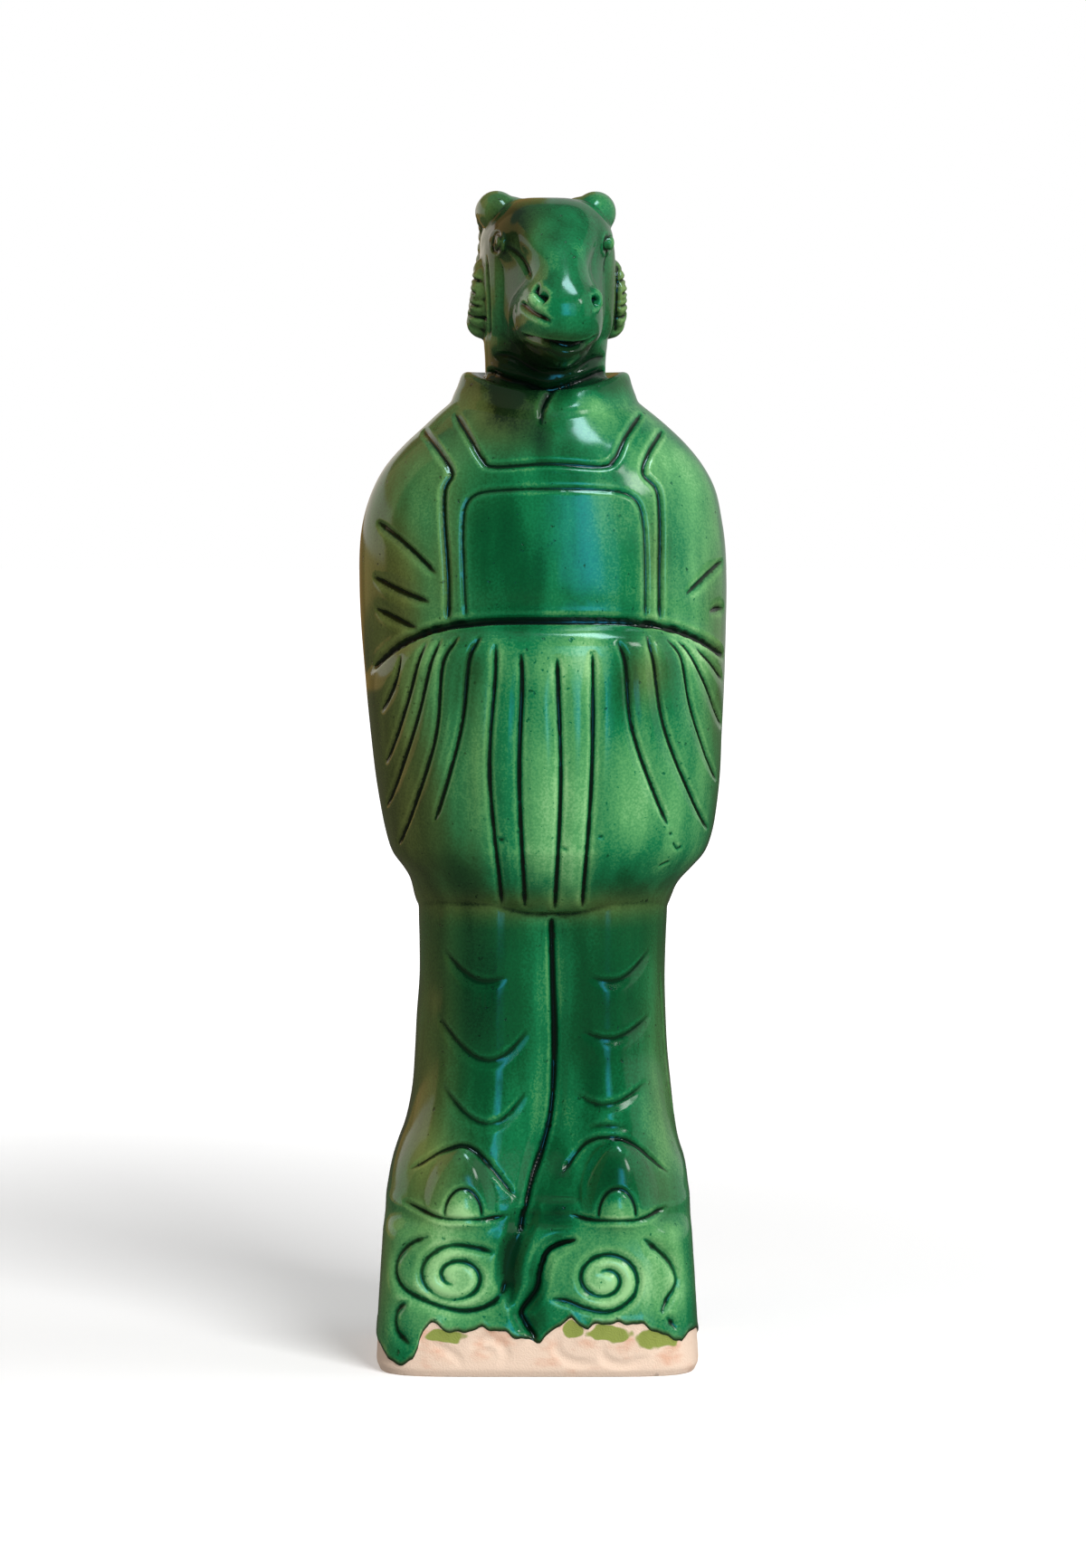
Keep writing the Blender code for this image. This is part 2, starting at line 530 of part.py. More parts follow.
def fused(forms, grain, smoothing):
    """One closed mesh around all the forms: joined, fused by voxels and smoothed."""
    joined = bmesh.new()
    graph = bpy.context.evaluated_depsgraph_get()
    for obj in forms:
        bpy.context.scene.collection.objects.link(obj)
    graph.update()
    for obj in forms:
        mesh = obj.evaluated_get(graph).to_mesh()
        joined.from_mesh(mesh)
        obj.evaluated_get(graph).to_mesh_clear()
    mesh = bpy.data.meshes.new("fused")
    joined.to_mesh(mesh)
    joined.free()
    for obj in forms:
        bpy.data.objects.remove(obj)
    solid = bpy.data.objects.new("fused", mesh)
    bpy.context.scene.collection.objects.link(solid)
    remesh = solid.modifiers.new("fuse", "REMESH")
    remesh.mode = "VOXEL"
    remesh.voxel_size = grain
    soften = solid.modifiers.new("soften", "SMOOTH")
    soften.factor = 0.5
    soften.iterations = smoothing
    graph = bpy.context.evaluated_depsgraph_get()
    result = bpy.data.meshes.new_from_object(solid.evaluated_get(graph))
    bpy.data.objects.remove(solid)
    return result


def on_surface(tree, drawn, facing, place):
    """The points of a flat drawing, laid on the surface along the axis that it faces."""
    axis, side = {"front": (1, -1), "back": (1, 1), "left": (0, 1), "right": (0, -1)}[facing]
    flat = np.zeros((len(drawn), 3))
    flat[:, 1 - axis] = drawn[:, 0]
    flat[:, 2] = drawn[:, 1]
    laid = []
    for point in place(flat):
        point[axis] = side * FIGURE_HEIGHT
        towards = Vector((0.0, 0.0, 0.0))
        towards[axis] = -side
        hit = tree.ray_cast(Vector(point), towards)[0]
        if hit is not None:
            laid.append(hit)
    return np.array(laid)


def engraved(tree, points, half_width, depth, facing="front", place=design_to_world, tips=3.0, broad=False):
    """A line through the drawn points, which fades out over its tips."""
    laid = on_surface(tree, through(points, 10), facing, place)
    along = np.concatenate([[0.0], np.cumsum(np.linalg.norm(np.diff(laid, axis=0), axis=1))])
    evenly = np.linspace(0.0, along[-1], int(along[-1] / LINE_STEP) + 2)
    laid = np.stack([np.interp(evenly, along, laid[:, k]) for k in range(3)], axis=1)
    along = evenly
    tip = np.clip(np.minimum(along, along[-1] - along) / max(tips * MM, 1e-9), 0.0, 1.0) ** 0.7
    return Line(laid, half_width * MM * (0.5 + 0.5 * tip), depth * MM * tip, broad)


def two_sided(rows, middle):
    """One line that runs up the left column of the rows, over the middle and down the right column."""
    left = [(row[0], row[2]) for row in rows]
    right = [(row[1], row[2]) for row in reversed(rows)]
    return [*left, middle, *right]


def sag(fold):
    """A fold that hangs from its two ends, with its lowest point between them."""
    (x0, z0), (x1, z1), (x2, z2) = fold
    points = []
    for k in range(13):
        share = 1.0 - k / 6.0
        end_x, end_z = (x0, z0) if share > 0 else (x2, z2)
        points.append((x1 + (end_x - x1) * abs(share), z1 + (end_z - z1) * share**2))
    return points


def spiral(centre, radius, growth, angle, turns, stretch):
    """A spiral that winds outwards clockwise."""
    count = int(turns * 14)
    points = []
    for k in range(count + 1):
        turned = turns * k / count
        at = math.radians(angle) - math.tau * turned
        reach = radius + growth * turned
        points.append((centre[0] + stretch * reach * math.cos(at), centre[1] + reach * math.sin(at)))
    return points


def pleat(row):
    """A pleat of the hanging cloth, from just under its crest to its foot."""
    start, shoulder, waist, foot, foot_height = row
    middle = max(0.0, 1.0 - ((start - DRAPE_CREST_X) / 16.0) ** 2)
    top = drape_crest(start) - PLEAT_START - PLEAT_START_MIDDLE * middle
    fall = top - foot_height
    return ((start, top), (shoulder, top - 0.14 * fall), (waist, top - 0.5 * fall), (foot, foot_height))


def dress_lines(tree):
    """Lines of the collar, bib, sleeves, hanging cloth and legs."""
    lines = [
        engraved(tree, two_sided(NECKLINE, NECKLINE_MIDDLE), 1.2, 0.9),
        engraved(tree, two_sided(BIB_PANEL, BIB_PANEL_MIDDLE), 1.0, 0.8),
        engraved(tree, THROAT, 1.3, 1.1, tips=5.0),
        engraved(tree, COLLAR_SEAM, 1.4, 1.2),
        engraved(tree, LEG_SEAM, 1.2, 1.0),
        engraved(tree, LEG_SEAM, 3.4, 0.8, broad=True),
        engraved(tree, LEG_SIDE_FOLD, 1.0, 0.5),
    ]
    crest = [(x, drape_crest(x) + 0.4) for x in np.linspace(-36.0, 38.5, 25)]
    lines.append(engraved(tree, crest, 1.5, 1.3))
    for column in (0, 1):
        lines.append(engraved(tree, [(row[column], row[2]) for row in BIB_EDGE], 1.2, 1.0))
    lines += [engraved(tree, fold, 1.3, 0.9) for fold in SLEEVE_FOLDS]
    lines += [engraved(tree, pleat(row), 1.2, 0.9) for row in PLEATS]
    lines += [engraved(tree, pleat(row), 2.9, 0.5, tips=9.0, broad=True) for row in PLEATS]
    lines += [engraved(tree, sag(fold), 1.2, 0.9, tips=5.0) for fold in LEG_FOLDS]
    lines += [engraved(tree, arch, 1.1, 0.6) for arch in SHOE_ARCHES]
    lines += [engraved(tree, foot, 1.1, 0.7) for foot in SHOE_FEET]
    for centre_x, _ in SHOES:
        cap = [(centre_x + 4.1 * math.cos(t), 33.6 + 6.3 * math.sin(t)) for t in np.linspace(math.pi, 0.0, 9)]
        lines.append(engraved(tree, cap, 0.9, 0.6, tips=1.0))
    return lines


def face_lines(tree):
    """Lines of the mouth, nostrils and eyes, and the clefts between cheeks and horns."""
    lines = [
        engraved(tree, MOUTH, 1.1, 1.2, tips=4.0),
        engraved(tree, LIP_FOLD, 1.0, 0.9, tips=2.0),
    ]
    lines += [engraved(tree, fold, 1.3, 0.8) for fold in THROAT_FOLDS]
    lines += [engraved(tree, tear, 1.0, 0.6) for tear in TEAR_LINES]
    lines += [engraved(tree, nostril, 1.3, 1.5, tips=0.6) for nostril in NOSTRILS]
    lines += [engraved(tree, cleft, 1.0, 0.9) for cleft in HORN_CLEFTS]
    return lines


def base_lines(tree):
    """Cloud scrolls round the base: drawn full on its front, plainer on the sides and the back."""
    lines = []
    for centre, radius, growth, angle, turns, stretch, tail in CLOUD_SPIRALS:
        drawn = spiral(centre, radius, growth, angle, turns, stretch) + list(tail)
        lines.append(engraved(tree, drawn, 1.0, 0.85, place=base_to_world))
    lines += [engraved(tree, edge, 1.2, 0.8, place=base_to_world) for edge in CLOUD_EDGES]
    lines += [engraved(tree, edge, 3.0, 0.6, place=base_to_world, broad=True) for edge in CLOUD_EDGES]
    lines += [
        engraved(tree, CLOUD_VALLEY, 3.7, 1.8, place=base_to_world, tips=5.0, broad=True),
        engraved(tree, CLOUD_CRACK, 1.1, 1.0, place=base_to_world, tips=2.0),
        engraved(tree, CLOUD_CRACK, 2.8, 1.3, place=base_to_world, tips=4.0, broad=True),
    ]
    for facing, centres in (("left", (-3.0,)), ("right", (-3.0,)), ("back", (-15.0, 14.0))):
        for centre_x in centres:
            drawn = spiral((centre_x, SIDE_SPIRAL_HEIGHT), *SIDE_SPIRAL)
            lines.append(engraved(tree, drawn, 1.1, 0.8, facing, base_to_world))
    return lines


def back_lines(tree):
    """The few plain lines of the back."""
    yoke = [(x, 190.0 + 5.0 * (x / 24.0) ** 2) for x in np.linspace(-26.0, 26.0, 9)]
    lines = [engraved(tree, yoke, 1.2, 0.8, "back")]
    for x in BACK_PLEATS:
        drawn = ((0.7 * x, 152.0), (0.9 * x, 132.0), (x, 104.0))
        lines.append(engraved(tree, drawn, 1.3, 0.8, "back"))
    lines.append(engraved(tree, ((0.0, 94.0), (0.0, 64.0), (0.0, 36.0)), 1.2, 0.8, "back"))
    for facing in ("left", "right"):
        lines.append(engraved(tree, ((6.0, 186.0), (11.0, 150.0), (6.0, 110.0)), 1.3, 0.8, facing))
    return lines


def carve(mesh, lines):
    """Presses the lines into the mesh, along its normals."""
    count = len(mesh.vertices)
    places = np.empty(count * 3)
    normals = np.empty(count * 3)
    mesh.vertices.foreach_get("co", places)
    mesh.vertices.foreach_get("normal", normals)
    places, normals = places.reshape(-1, 3), normals.reshape(-1, 3)
    narrow, broad = np.zeros(count), np.zeros(count)
    for line in lines:
        reach = line.half_width.max()
        low, high = line.points.min(0) - reach, line.points.max(0) + reach
        near = np.flatnonzero(np.all((places > low) & (places < high), axis=1))
        away = np.linalg.norm(places[near, None, :] - line.points[None, :, :], axis=2)
        at = away.argmin(axis=1)
        share = np.clip(away[np.arange(len(near)), at] / line.half_width[at], 0.0, 1.0)
        depth = broad if line.broad else narrow
        depth[near] = np.maximum(depth[near], line.depth[at] * (1.0 - share**2) ** 2)
    mesh.vertices.foreach_set("co", (places - normals * (narrow + broad)[:, None]).ravel())
    mesh.update()


def reduced(mesh, triangles):
    """The mesh in about that many triangles, most of them where it bends."""
    obj = bpy.data.objects.new("reduced", mesh)
    bpy.context.scene.collection.objects.link(obj)
    faces = sum(len(polygon.vertices) - 2 for polygon in mesh.polygons)
    decimate = obj.modifiers.new("reduce", "DECIMATE")
    decimate.ratio = triangles / faces
    result = bpy.data.meshes.new_from_object(obj.evaluated_get(bpy.context.evaluated_depsgraph_get()))
    bpy.data.objects.remove(obj)
    return result


def cut_flat(mesh):
    """Cuts the mesh off at the ground and closes the underside with one flat face."""
    form = bmesh.new()
    form.from_mesh(mesh)
    everything = form.verts[:] + form.edges[:] + form.faces[:]
    bmesh.ops.bisect_plane(form, geom=everything, dist=1e-7, plane_co=(0, 0, 0), plane_no=(0, 0, 1),
                           clear_inner=True)
    bmesh.ops.remove_doubles(form, verts=[v for v in form.verts if abs(v.co.z) < 1e-7], dist=2e-5)
    bmesh.ops.contextual_create(form, geom=[edge for edge in form.edges if edge.is_boundary])
    bmesh.ops.triangulate(form, faces=form.faces[:])
    bmesh.ops.recalc_face_normals(form, faces=form.faces)
    form.to_mesh(mesh)
    form.free()


def centre(mesh):
    """Moves the mesh so that the origin is under the middle of its bounding box."""
    corners = np.array([v.co for v in mesh.vertices])
    middle = (corners.min(0) + corners.max(0)) / 2
    for vertex in mesh.vertices:
        vertex.co.x -= middle[0]
        vertex.co.y -= middle[1]


def figure_forms():
    """All the forms that make up the figure, still apart."""
    forms = []
    add_form(forms, base_rings())
    add_form(forms, robe_rings())
    add_form(forms, lofted(SLEEVE_ROWS, columns=128, steps=6, reshape=push_drape))
    add_form(forms, lofted(COLLAR_ROWS, reshape=dip_collar))
    add_form(forms, lofted(NECK_ROWS))
    shoe_forms(forms)
    head_forms(forms)
    return forms


def build():
    """The whole figure as one closed mesh, before it is reduced."""
    for obj in list(bpy.data.objects):
        bpy.data.objects.remove(obj)
    mesh = fused(figure_forms(), GRAIN, SMOOTHING_PASSES)
    tree = BVHTree.FromPolygons([v.co for v in mesh.vertices], [p.vertices for p in mesh.polygons])
    carve(mesh, dress_lines(tree) + face_lines(tree) + base_lines(tree) + back_lines(tree))
    return mesh


def glaze():
    """The green lead glaze that covers nearly all of the figure."""
    material = bpy.data.materials.new("green_glaze")
    material.use_nodes = True
    shader = material.node_tree.nodes["Principled BSDF"]
    shader.inputs["Base Color"].default_value = GLAZE_GREEN
    shader.inputs["Roughness"].default_value = 0.12
    shader.inputs["Metallic"].default_value = 0.0
    return material


if __name__ == "__main__":
    figure = reduced(build(), TRIANGLES)
    cut_flat(figure)
    centre(figure)
    figure.materials.append(glaze())
    goat = bpy.data.objects.new("goat_figure", figure)
    bpy.context.scene.collection.objects.link(goat)
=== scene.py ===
"""Looks of a zodiac goat figure: a robed, ram-headed attendant on a cloud base, in green lead glaze.

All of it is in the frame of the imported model, in metres: +Z up, and the face looks along -Y. The figure is one
moulded piece of pottery, so its forms are lofted, fused by voxels, carved with lines and dressed as one piece.
"""

import logging
import math
from collections.abc import Callable, Sequence
from dataclasses import dataclass, field
from enum import Enum

import bmesh
import bpy
import numpy as np
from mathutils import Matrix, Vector
from mathutils.bvhtree import BVHTree
from mathutils.kdtree import KDTree


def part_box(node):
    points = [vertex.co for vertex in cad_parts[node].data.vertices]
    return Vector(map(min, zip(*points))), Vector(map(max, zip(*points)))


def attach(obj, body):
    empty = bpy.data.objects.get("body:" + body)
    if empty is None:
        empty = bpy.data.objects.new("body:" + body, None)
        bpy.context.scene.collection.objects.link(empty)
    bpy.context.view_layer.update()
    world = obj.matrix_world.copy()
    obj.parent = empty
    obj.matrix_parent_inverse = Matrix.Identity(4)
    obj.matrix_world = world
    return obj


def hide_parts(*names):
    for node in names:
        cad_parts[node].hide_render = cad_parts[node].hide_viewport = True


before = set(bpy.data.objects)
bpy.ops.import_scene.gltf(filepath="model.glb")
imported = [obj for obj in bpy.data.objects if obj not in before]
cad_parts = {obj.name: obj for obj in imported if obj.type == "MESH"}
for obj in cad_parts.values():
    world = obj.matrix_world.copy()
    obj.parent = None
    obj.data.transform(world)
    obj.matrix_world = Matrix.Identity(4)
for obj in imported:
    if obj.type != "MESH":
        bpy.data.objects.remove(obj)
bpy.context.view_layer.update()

LOG = logging.getLogger("goat_figure")
MM = 0.001  # metres
NODE = "goat_figure"
PIECE = "glazed_goat_figure"
ON_GROUND = 1e-7  # metres: a vertex this near the ground lies on it
WELD = 1e-5  # metres: vertices on the ground that are this near each other become one

Row = tuple[float, ...]
Path = Sequence[tuple[float, float]]
Place = Callable[[np.ndarray], np.ndarray]


class Facing(Enum):
    """A side of the figure that a line is drawn on: the axis that it is pressed in along, and its side."""

    FRONT = (1, -1)
    BACK = (1, 1)
    LEFT = (0, -1)
    RIGHT = (0, 1)


def linear(colour: str) -> tuple[float, float, float, float]:
    """Turns a colour to linear light.

    Args:
        colour: sRGB hex value, such as "#1F7448".

    Returns:
        Linear red, green, blue and an alpha of 1.
    """
    parts = [int(colour[k : k + 2], 16) / 255 for k in (1, 3, 5)]
    red, green, blue = (c / 12.92 if c <= 0.04045 else ((c + 0.055) / 1.055) ** 2.4 for c in parts)
    return red, green, blue, 1.0


def smooth_step(values: np.ndarray, low: float, high: float) -> np.ndarray:
    """Rises smoothly from 0 at low to 1 at high.

    Args:
        values: what is looked up.
        low: where the rise starts; it may be above high.
        high: where it ends.

    Returns:
        Shares from 0 to 1, as many as there are values.
    """
    share = np.clip((values - low) / (high - low), 0.0, 1.0)
    return share * share * (3.0 - 2.0 * share)


def through(rows: Sequence[Row], steps: int) -> np.ndarray:
    """A Catmull-Rom path through the rows.

    Args:
        rows: the points, or rows of sizes, that the path goes through.
        steps: how many points it gets from row to row.

    Returns:
        The points of the path, one in a row.
    """
    knots = np.array(rows, float)
    knots = np.vstack([2 * knots[0] - knots[1], knots, 2 * knots[-1] - knots[-2]])
    share = np.arange(steps)[:, None] / steps
    pieces = [
        0.5 * (2 * b + (c - a) * share + (2 * a - 5 * b + 4 * c - d) * share**2
               + (3 * b - a - 3 * c + d) * share**3)
        for a, b, c, d in zip(knots[:-3], knots[1:-2], knots[2:-1], knots[3:])
    ]
    return np.vstack([*pieces, knots[-2:-1]])


@dataclass(frozen=True)
class Measure:
    """Sizes of the whole figure, and how its design millimetres become metres."""

    figure_height: float = 218.0 * MM
    base_height: float = 32.0 * MM
    base_width: float = 69.4 * MM
    base_depth: float = 58.0 * MM
    design_figure: float = 218.0
    design_base: float = 32.0
    design_width: float = 69.4
    design_depth: float = 58.0
    head_centre_x: float = 0.9
    head_turn: float = math.radians(8.0)

    @property
    def share(self) -> float:
        """Metres in a design millimetre of the figure."""
        return self.figure_height / self.design_figure

    def figure(self, points: np.ndarray) -> np.ndarray:
        """Places points of the figure.

        Args:
            points: design millimetres above the ground.

        Returns:
            The same points in metres, standing on the base.
        """
        placed = np.array(points, float).reshape(-1, 3)
        placed[:, :2] *= self.share
        placed[:, 2] = self.base_height + (placed[:, 2] - self.design_base) * self.share
        return placed

    def base(self, points: np.ndarray) -> np.ndarray:
        """Places points that are drawn on the base.

        Args:
            points: design millimetres.

        Returns:
            The same points in metres, on a base of this size.
        """
        placed = np.array(points, float).reshape(-1, 3)
        placed[:, 0] *= self.base_width / self.design_width
        placed[:, 1] *= self.base_depth / self.design_depth
        placed[:, 2] *= self.base_height / self.design_base
        return placed

    def head(self, points: np.ndarray) -> np.ndarray:
        """Places points of the head, which is drawn looking straight along -Y.

        Args:
            points: design millimetres, from the middle of the neck.

        Returns:
            The same points in metres, turned and set over the neck.
        """
        turned = np.array(points, float).reshape(-1, 3)
        x, y = turned[:, 0].copy(), turned[:, 1].copy()
        cosine, sine = math.cos(self.head_turn), math.sin(self.head_turn)
        turned[:, 0] = self.head_centre_x + x * cosine - y * sine
        turned[:, 1] = x * sine + y * cosine
        return self.figure(turned)


@dataclass
class Loft:
    """A closed form through superellipse rings.

    A row is: height, centre x, half width, reach to the front, reach to the back, squareness, and it may add
    the share of its width that the ring loses towards the front.
    """

    rows: Sequence[Row]
    columns: int = 96
    steps: int = 4
    reshape: Callable[[np.ndarray, np.ndarray], np.ndarray] | None = None

    def ring(self, row: np.ndarray) -> np.ndarray:
        """One ring of the form.

        Args:
            row: the ring's sizes.

        Returns:
            Its points, in design units.
        """
        height, centre, half_width, front, back, squareness = row[:6]
        turn = np.arange(self.columns) / self.columns * math.tau
        across, along = np.cos(turn), np.sin(turn)
        power = 2.0 / squareness
        x = centre + half_width * np.sign(across) * np.abs(across) ** power
        y = np.where(along < 0, front, back) * np.sign(along) * np.abs(along) ** power
        if len(row) > 6:
            x *= 1.0 - row[6] * np.clip(-y / front, 0.0, 1.0)
        points = np.stack([x, y, np.full(self.columns, height)], axis=1)
        return self.reshape(points, row) if self.reshape else points

    def solid(self, place: Place) -> bpy.types.Object:
        """The form as a closed mesh.

        Args:
            place: turns design units into metres.

        Returns:
            A new object, not yet in the scene.
        """
        form = bmesh.new()
        loops = [[form.verts.new(p) for p in place(self.ring(row))] for row in through(self.rows, self.steps)]
        for low, high in zip(loops[:-1], loops[1:]):
            for i in range(self.columns):
                j = (i + 1) % self.columns
                form.faces.new((low[i], low[j], high[j], high[i]))
        form.faces.new(loops[0][::-1])
        form.faces.new(loops[-1])
        bmesh.ops.recalc_face_normals(form, faces=form.faces)
        return as_object(form)


@dataclass(frozen=True)
class Ball:
    """An ellipsoid: its centre and half sizes, in design millimetres."""

    centre: tuple[float, float, float]
    radii: tuple[float, float, float]

    def solid(self, place: Place, side: int = 1) -> bpy.types.Object:
        """The ellipsoid as a closed mesh.

        Args:
            place: turns design units into metres.
            side: -1 mirrors it to the other side of the head.

        Returns:
            A new object, not yet in the scene.
        """
        form = bmesh.new()
        bmesh.ops.create_uvsphere(form, u_segments=32, v_segments=20, radius=1.0)
        points = np.array([v.co for v in form.verts]) * self.radii + np.array(self.centre) * (side, 1, 1)
        for vertex, point in zip(form.verts, place(points)):
            vertex.co = point
        return as_object(form)


def as_object(form: bmesh.types.BMesh) -> bpy.types.Object:
    """Turns a bmesh into an object, and frees it.

    Args:
        form: the bmesh.

    Returns:
        A new object, not yet in the scene.
    """
    mesh = bpy.data.meshes.new("form")
    form.to_mesh(mesh)
    form.free()
    return bpy.data.objects.new("form", mesh)


@dataclass(frozen=True)
class Cut:
    """How a line is pressed into the surface, in millimetres."""

    half_width: float
    depth: float  # below 0 it is a raised ridge
    tips: float = 3.0  # length over which an end fades out
    fade: float = 1.0  # how much wider the line is on its lower side
    broad: bool = False  # a soft valley that the narrow lines are cut into


@dataclass(frozen=True)
class Stroke:
    """A line drawn flat on one side of the figure, to be carved."""

    drawn: Path
    cut: Cut
    place: Place
    facing: Facing = Facing.FRONT


def strokes_along(lines: Sequence[Path], cuts: Sequence[Cut], place: Place,
                  facing: Facing = Facing.FRONT) -> list[Stroke]:
    """Strokes along every line, one for each cut.

    Args:
        lines: the lines, drawn flat.
        cuts: how each of them is pressed in.
        place: turns design units into metres.
        facing: the side that they are drawn on.

    Returns:
        The strokes.
    """
    return [Stroke(line, cut, place, facing) for line in lines for cut in cuts]


@dataclass(frozen=True)
class Groove:
    """A stroke laid on the surface: its points, and its half width, depth and fade there, in metres."""

    points: np.ndarray
    half_width: np.ndarray
    depth: np.ndarray
    fade: float
    broad: bool


@dataclass
class CloudBase:
    """The square block under the figure, with cloud scrolls on its faces."""

    measure: Measure
    taper: float = 1.8 * MM
    foot_round: float = 1.4 * MM
    centre_x: float = -1.2 * MM
    centre_y: float = -2.4 * MM
    squareness: float = 6.0
    cut_depth: float = 6.0 * MM
    columns: int = 120
    spirals: tuple[tuple, ...] = (
        ((-18.4, 21.2), 1.5, 3.4, -90.0, 1.5, 1.25, ((-13.8, 27.2), (-9.7, 26.1))),
        ((13.0, 20.6), 1.3, 3.3, 150.0, 1.667, 1.15, ((8.6, 14.6), (5.3, 16.0), (1.3, 16.7))),
    )
    edges: tuple[Path, ...] = (
        ((-23.7, 29.9), (-28.6, 27.6), (-31.6, 23.4), (-30.4, 19.0), (-24.8, 16.0), (-16.4, 14.0),
         (-10.2, 16.0), (-7.6, 20.6)),
        ((-28.3, 16.3), (-31.4, 13.2), (-31.2, 9.4), (-27.8, 6.5)),
        ((20.9, 29.4), (26.6, 24.4), (28.6, 19.9), (26.4, 16.2), (24.7, 13.3)),
        ((25.9, 13.0), (28.4, 9.6)),
    )
    valley: Path = ((-2.4, 39.0), (-3.6, 34.0), (-5.0, 30.0), (-7.0, 25.0), (-7.4, 20.0), (-6.4, 14.5))
    crack: Path = ((7.3, 29.1), (3.0, 27.8), (0.6, 26.0), (-0.6, 22.5), (-1.4, 18.5), (-4.4, 14.2), (-4.1, 12.2),
                   (-2.2, 9.2), (-1.0, 7.6))
    clay_marks: tuple[Path, ...] = (
        ((-15.6, 6.2), (-12.4, 8.2), (-9.0, 7.2), (-7.8, 4.6), (-9.4, 2.4)),
        ((-13.4, 4.6), (-11.4, 5.6), (-10.2, 4.2)),
        ((3.4, 9.4), (3.0, 5.6), (6.4, 3.2), (11.4, 3.0)),
        ((12.6, 7.0), (13.0, 4.0), (17.0, 2.6), (22.6, 4.2)),
        ((-24.0, 7.4), (-18.6, 4.6), (-17.0, 2.2)),
    )
    side_spiral: tuple[float, ...] = (1.5, 3.3, -90.0, 1.75, 1.25)
    side_spiral_height: float = 19.0
    side_spirals: tuple[tuple[Facing, float], ...] = (
        (Facing.LEFT, -3.0), (Facing.RIGHT, -3.0), (Facing.BACK, -15.0), (Facing.BACK, 14.0),
    )
    spiral_points: int = 14  # in a turn
    spiral_cuts: tuple[Cut, ...] = (Cut(1.15, 0.5), Cut(1.9, 0.25, broad=True))
    edge_cuts: tuple[Cut, ...] = (Cut(1.25, 0.6), Cut(3.0, 0.6, broad=True))
    mark_cut: Cut = Cut(1.5, 0.45, broad=True)
    valley_cut: Cut = Cut(3.7, 1.8, tips=5.0, broad=True)
    crack_cuts: tuple[Cut, ...] = (Cut(0.9, 1.0, tips=2.0), Cut(2.8, 1.3, tips=4.0, broad=True))
    side_cut: Cut = Cut(1.2, 0.65)

    def solids(self) -> list[bpy.types.Object]:
        """The block, from under the ground to its top.

        Returns:
            The block alone, as a closed form.
        """
        size = self.measure
        half_width, half_depth = size.base_width / 2, size.base_depth / 2
        rows = [(-self.cut_depth, 2.0 * self.foot_round)]
        for k in range(5):  # the worn, rounded foot
            rise = math.sin(math.pi / 2 * k / 4)
            rows.append((self.foot_round * rise, 0.45 * self.foot_round * (1 - rise)))
        for k in range(1, 7):  # the sides, which lean in
            height = self.foot_round + (size.base_height - 2 * self.foot_round) * k / 6
            rows.append((height, self.taper * k / 6))
        rows.append((size.base_height - 0.4 * self.foot_round, self.taper + 0.3 * self.foot_round))
        rows.append((size.base_height, self.taper + self.foot_round))
        loft = Loft(
            [(height, self.centre_x, half_width - inset, half_depth - inset, half_depth - inset, self.squareness)
             for height, inset in rows],
            columns=self.columns,
            steps=1,
        )
        return [loft.solid(lambda ring: ring + np.array((0.0, self.centre_y, 0.0)))]

    def spiral(self, centre: tuple[float, float], radius: float, growth: float, angle: float, turns: float,
               stretch: float) -> list[tuple[float, float]]:
        """A spiral that winds outwards clockwise.

        Args:
            centre: its middle.
            radius: how far from there it starts.
            growth: how much the radius grows in a turn.
            angle: where it starts, in degrees.
            turns: how far it winds.
            stretch: how much wider than high it is.

        Returns:
            Its points.
        """
        count = int(turns * self.spiral_points)
        points = []
        for k in range(count + 1):
            turned = turns * k / count
            at, reach = math.radians(angle) - math.tau * turned, radius + growth * turned
            points.append((centre[0] + stretch * reach * math.cos(at), centre[1] + reach * math.sin(at)))
        return points

    def strokes(self) -> list[Stroke]:
        """The cloud scrolls: drawn full on the front, plainer on the sides and the back.

        Returns:
            Their strokes, with the crack and the marks in the clay.
        """
        place = self.measure.base
        spirals = [[*self.spiral(*shape), *tail] for *shape, tail in self.spirals]
        lines = [
            *strokes_along(spirals, self.spiral_cuts, place),
            *strokes_along(self.edges, self.edge_cuts, place),
            *strokes_along(self.clay_marks, [self.mark_cut], place),
            *strokes_along([self.valley], [self.valley_cut], place),
            *strokes_along([self.crack], self.crack_cuts, place),
        ]
        for facing, centre in self.side_spirals:
            drawn = self.spiral((centre, self.side_spiral_height), *self.side_spiral)
            lines.append(Stroke(drawn, self.side_cut, place, facing))
        return lines


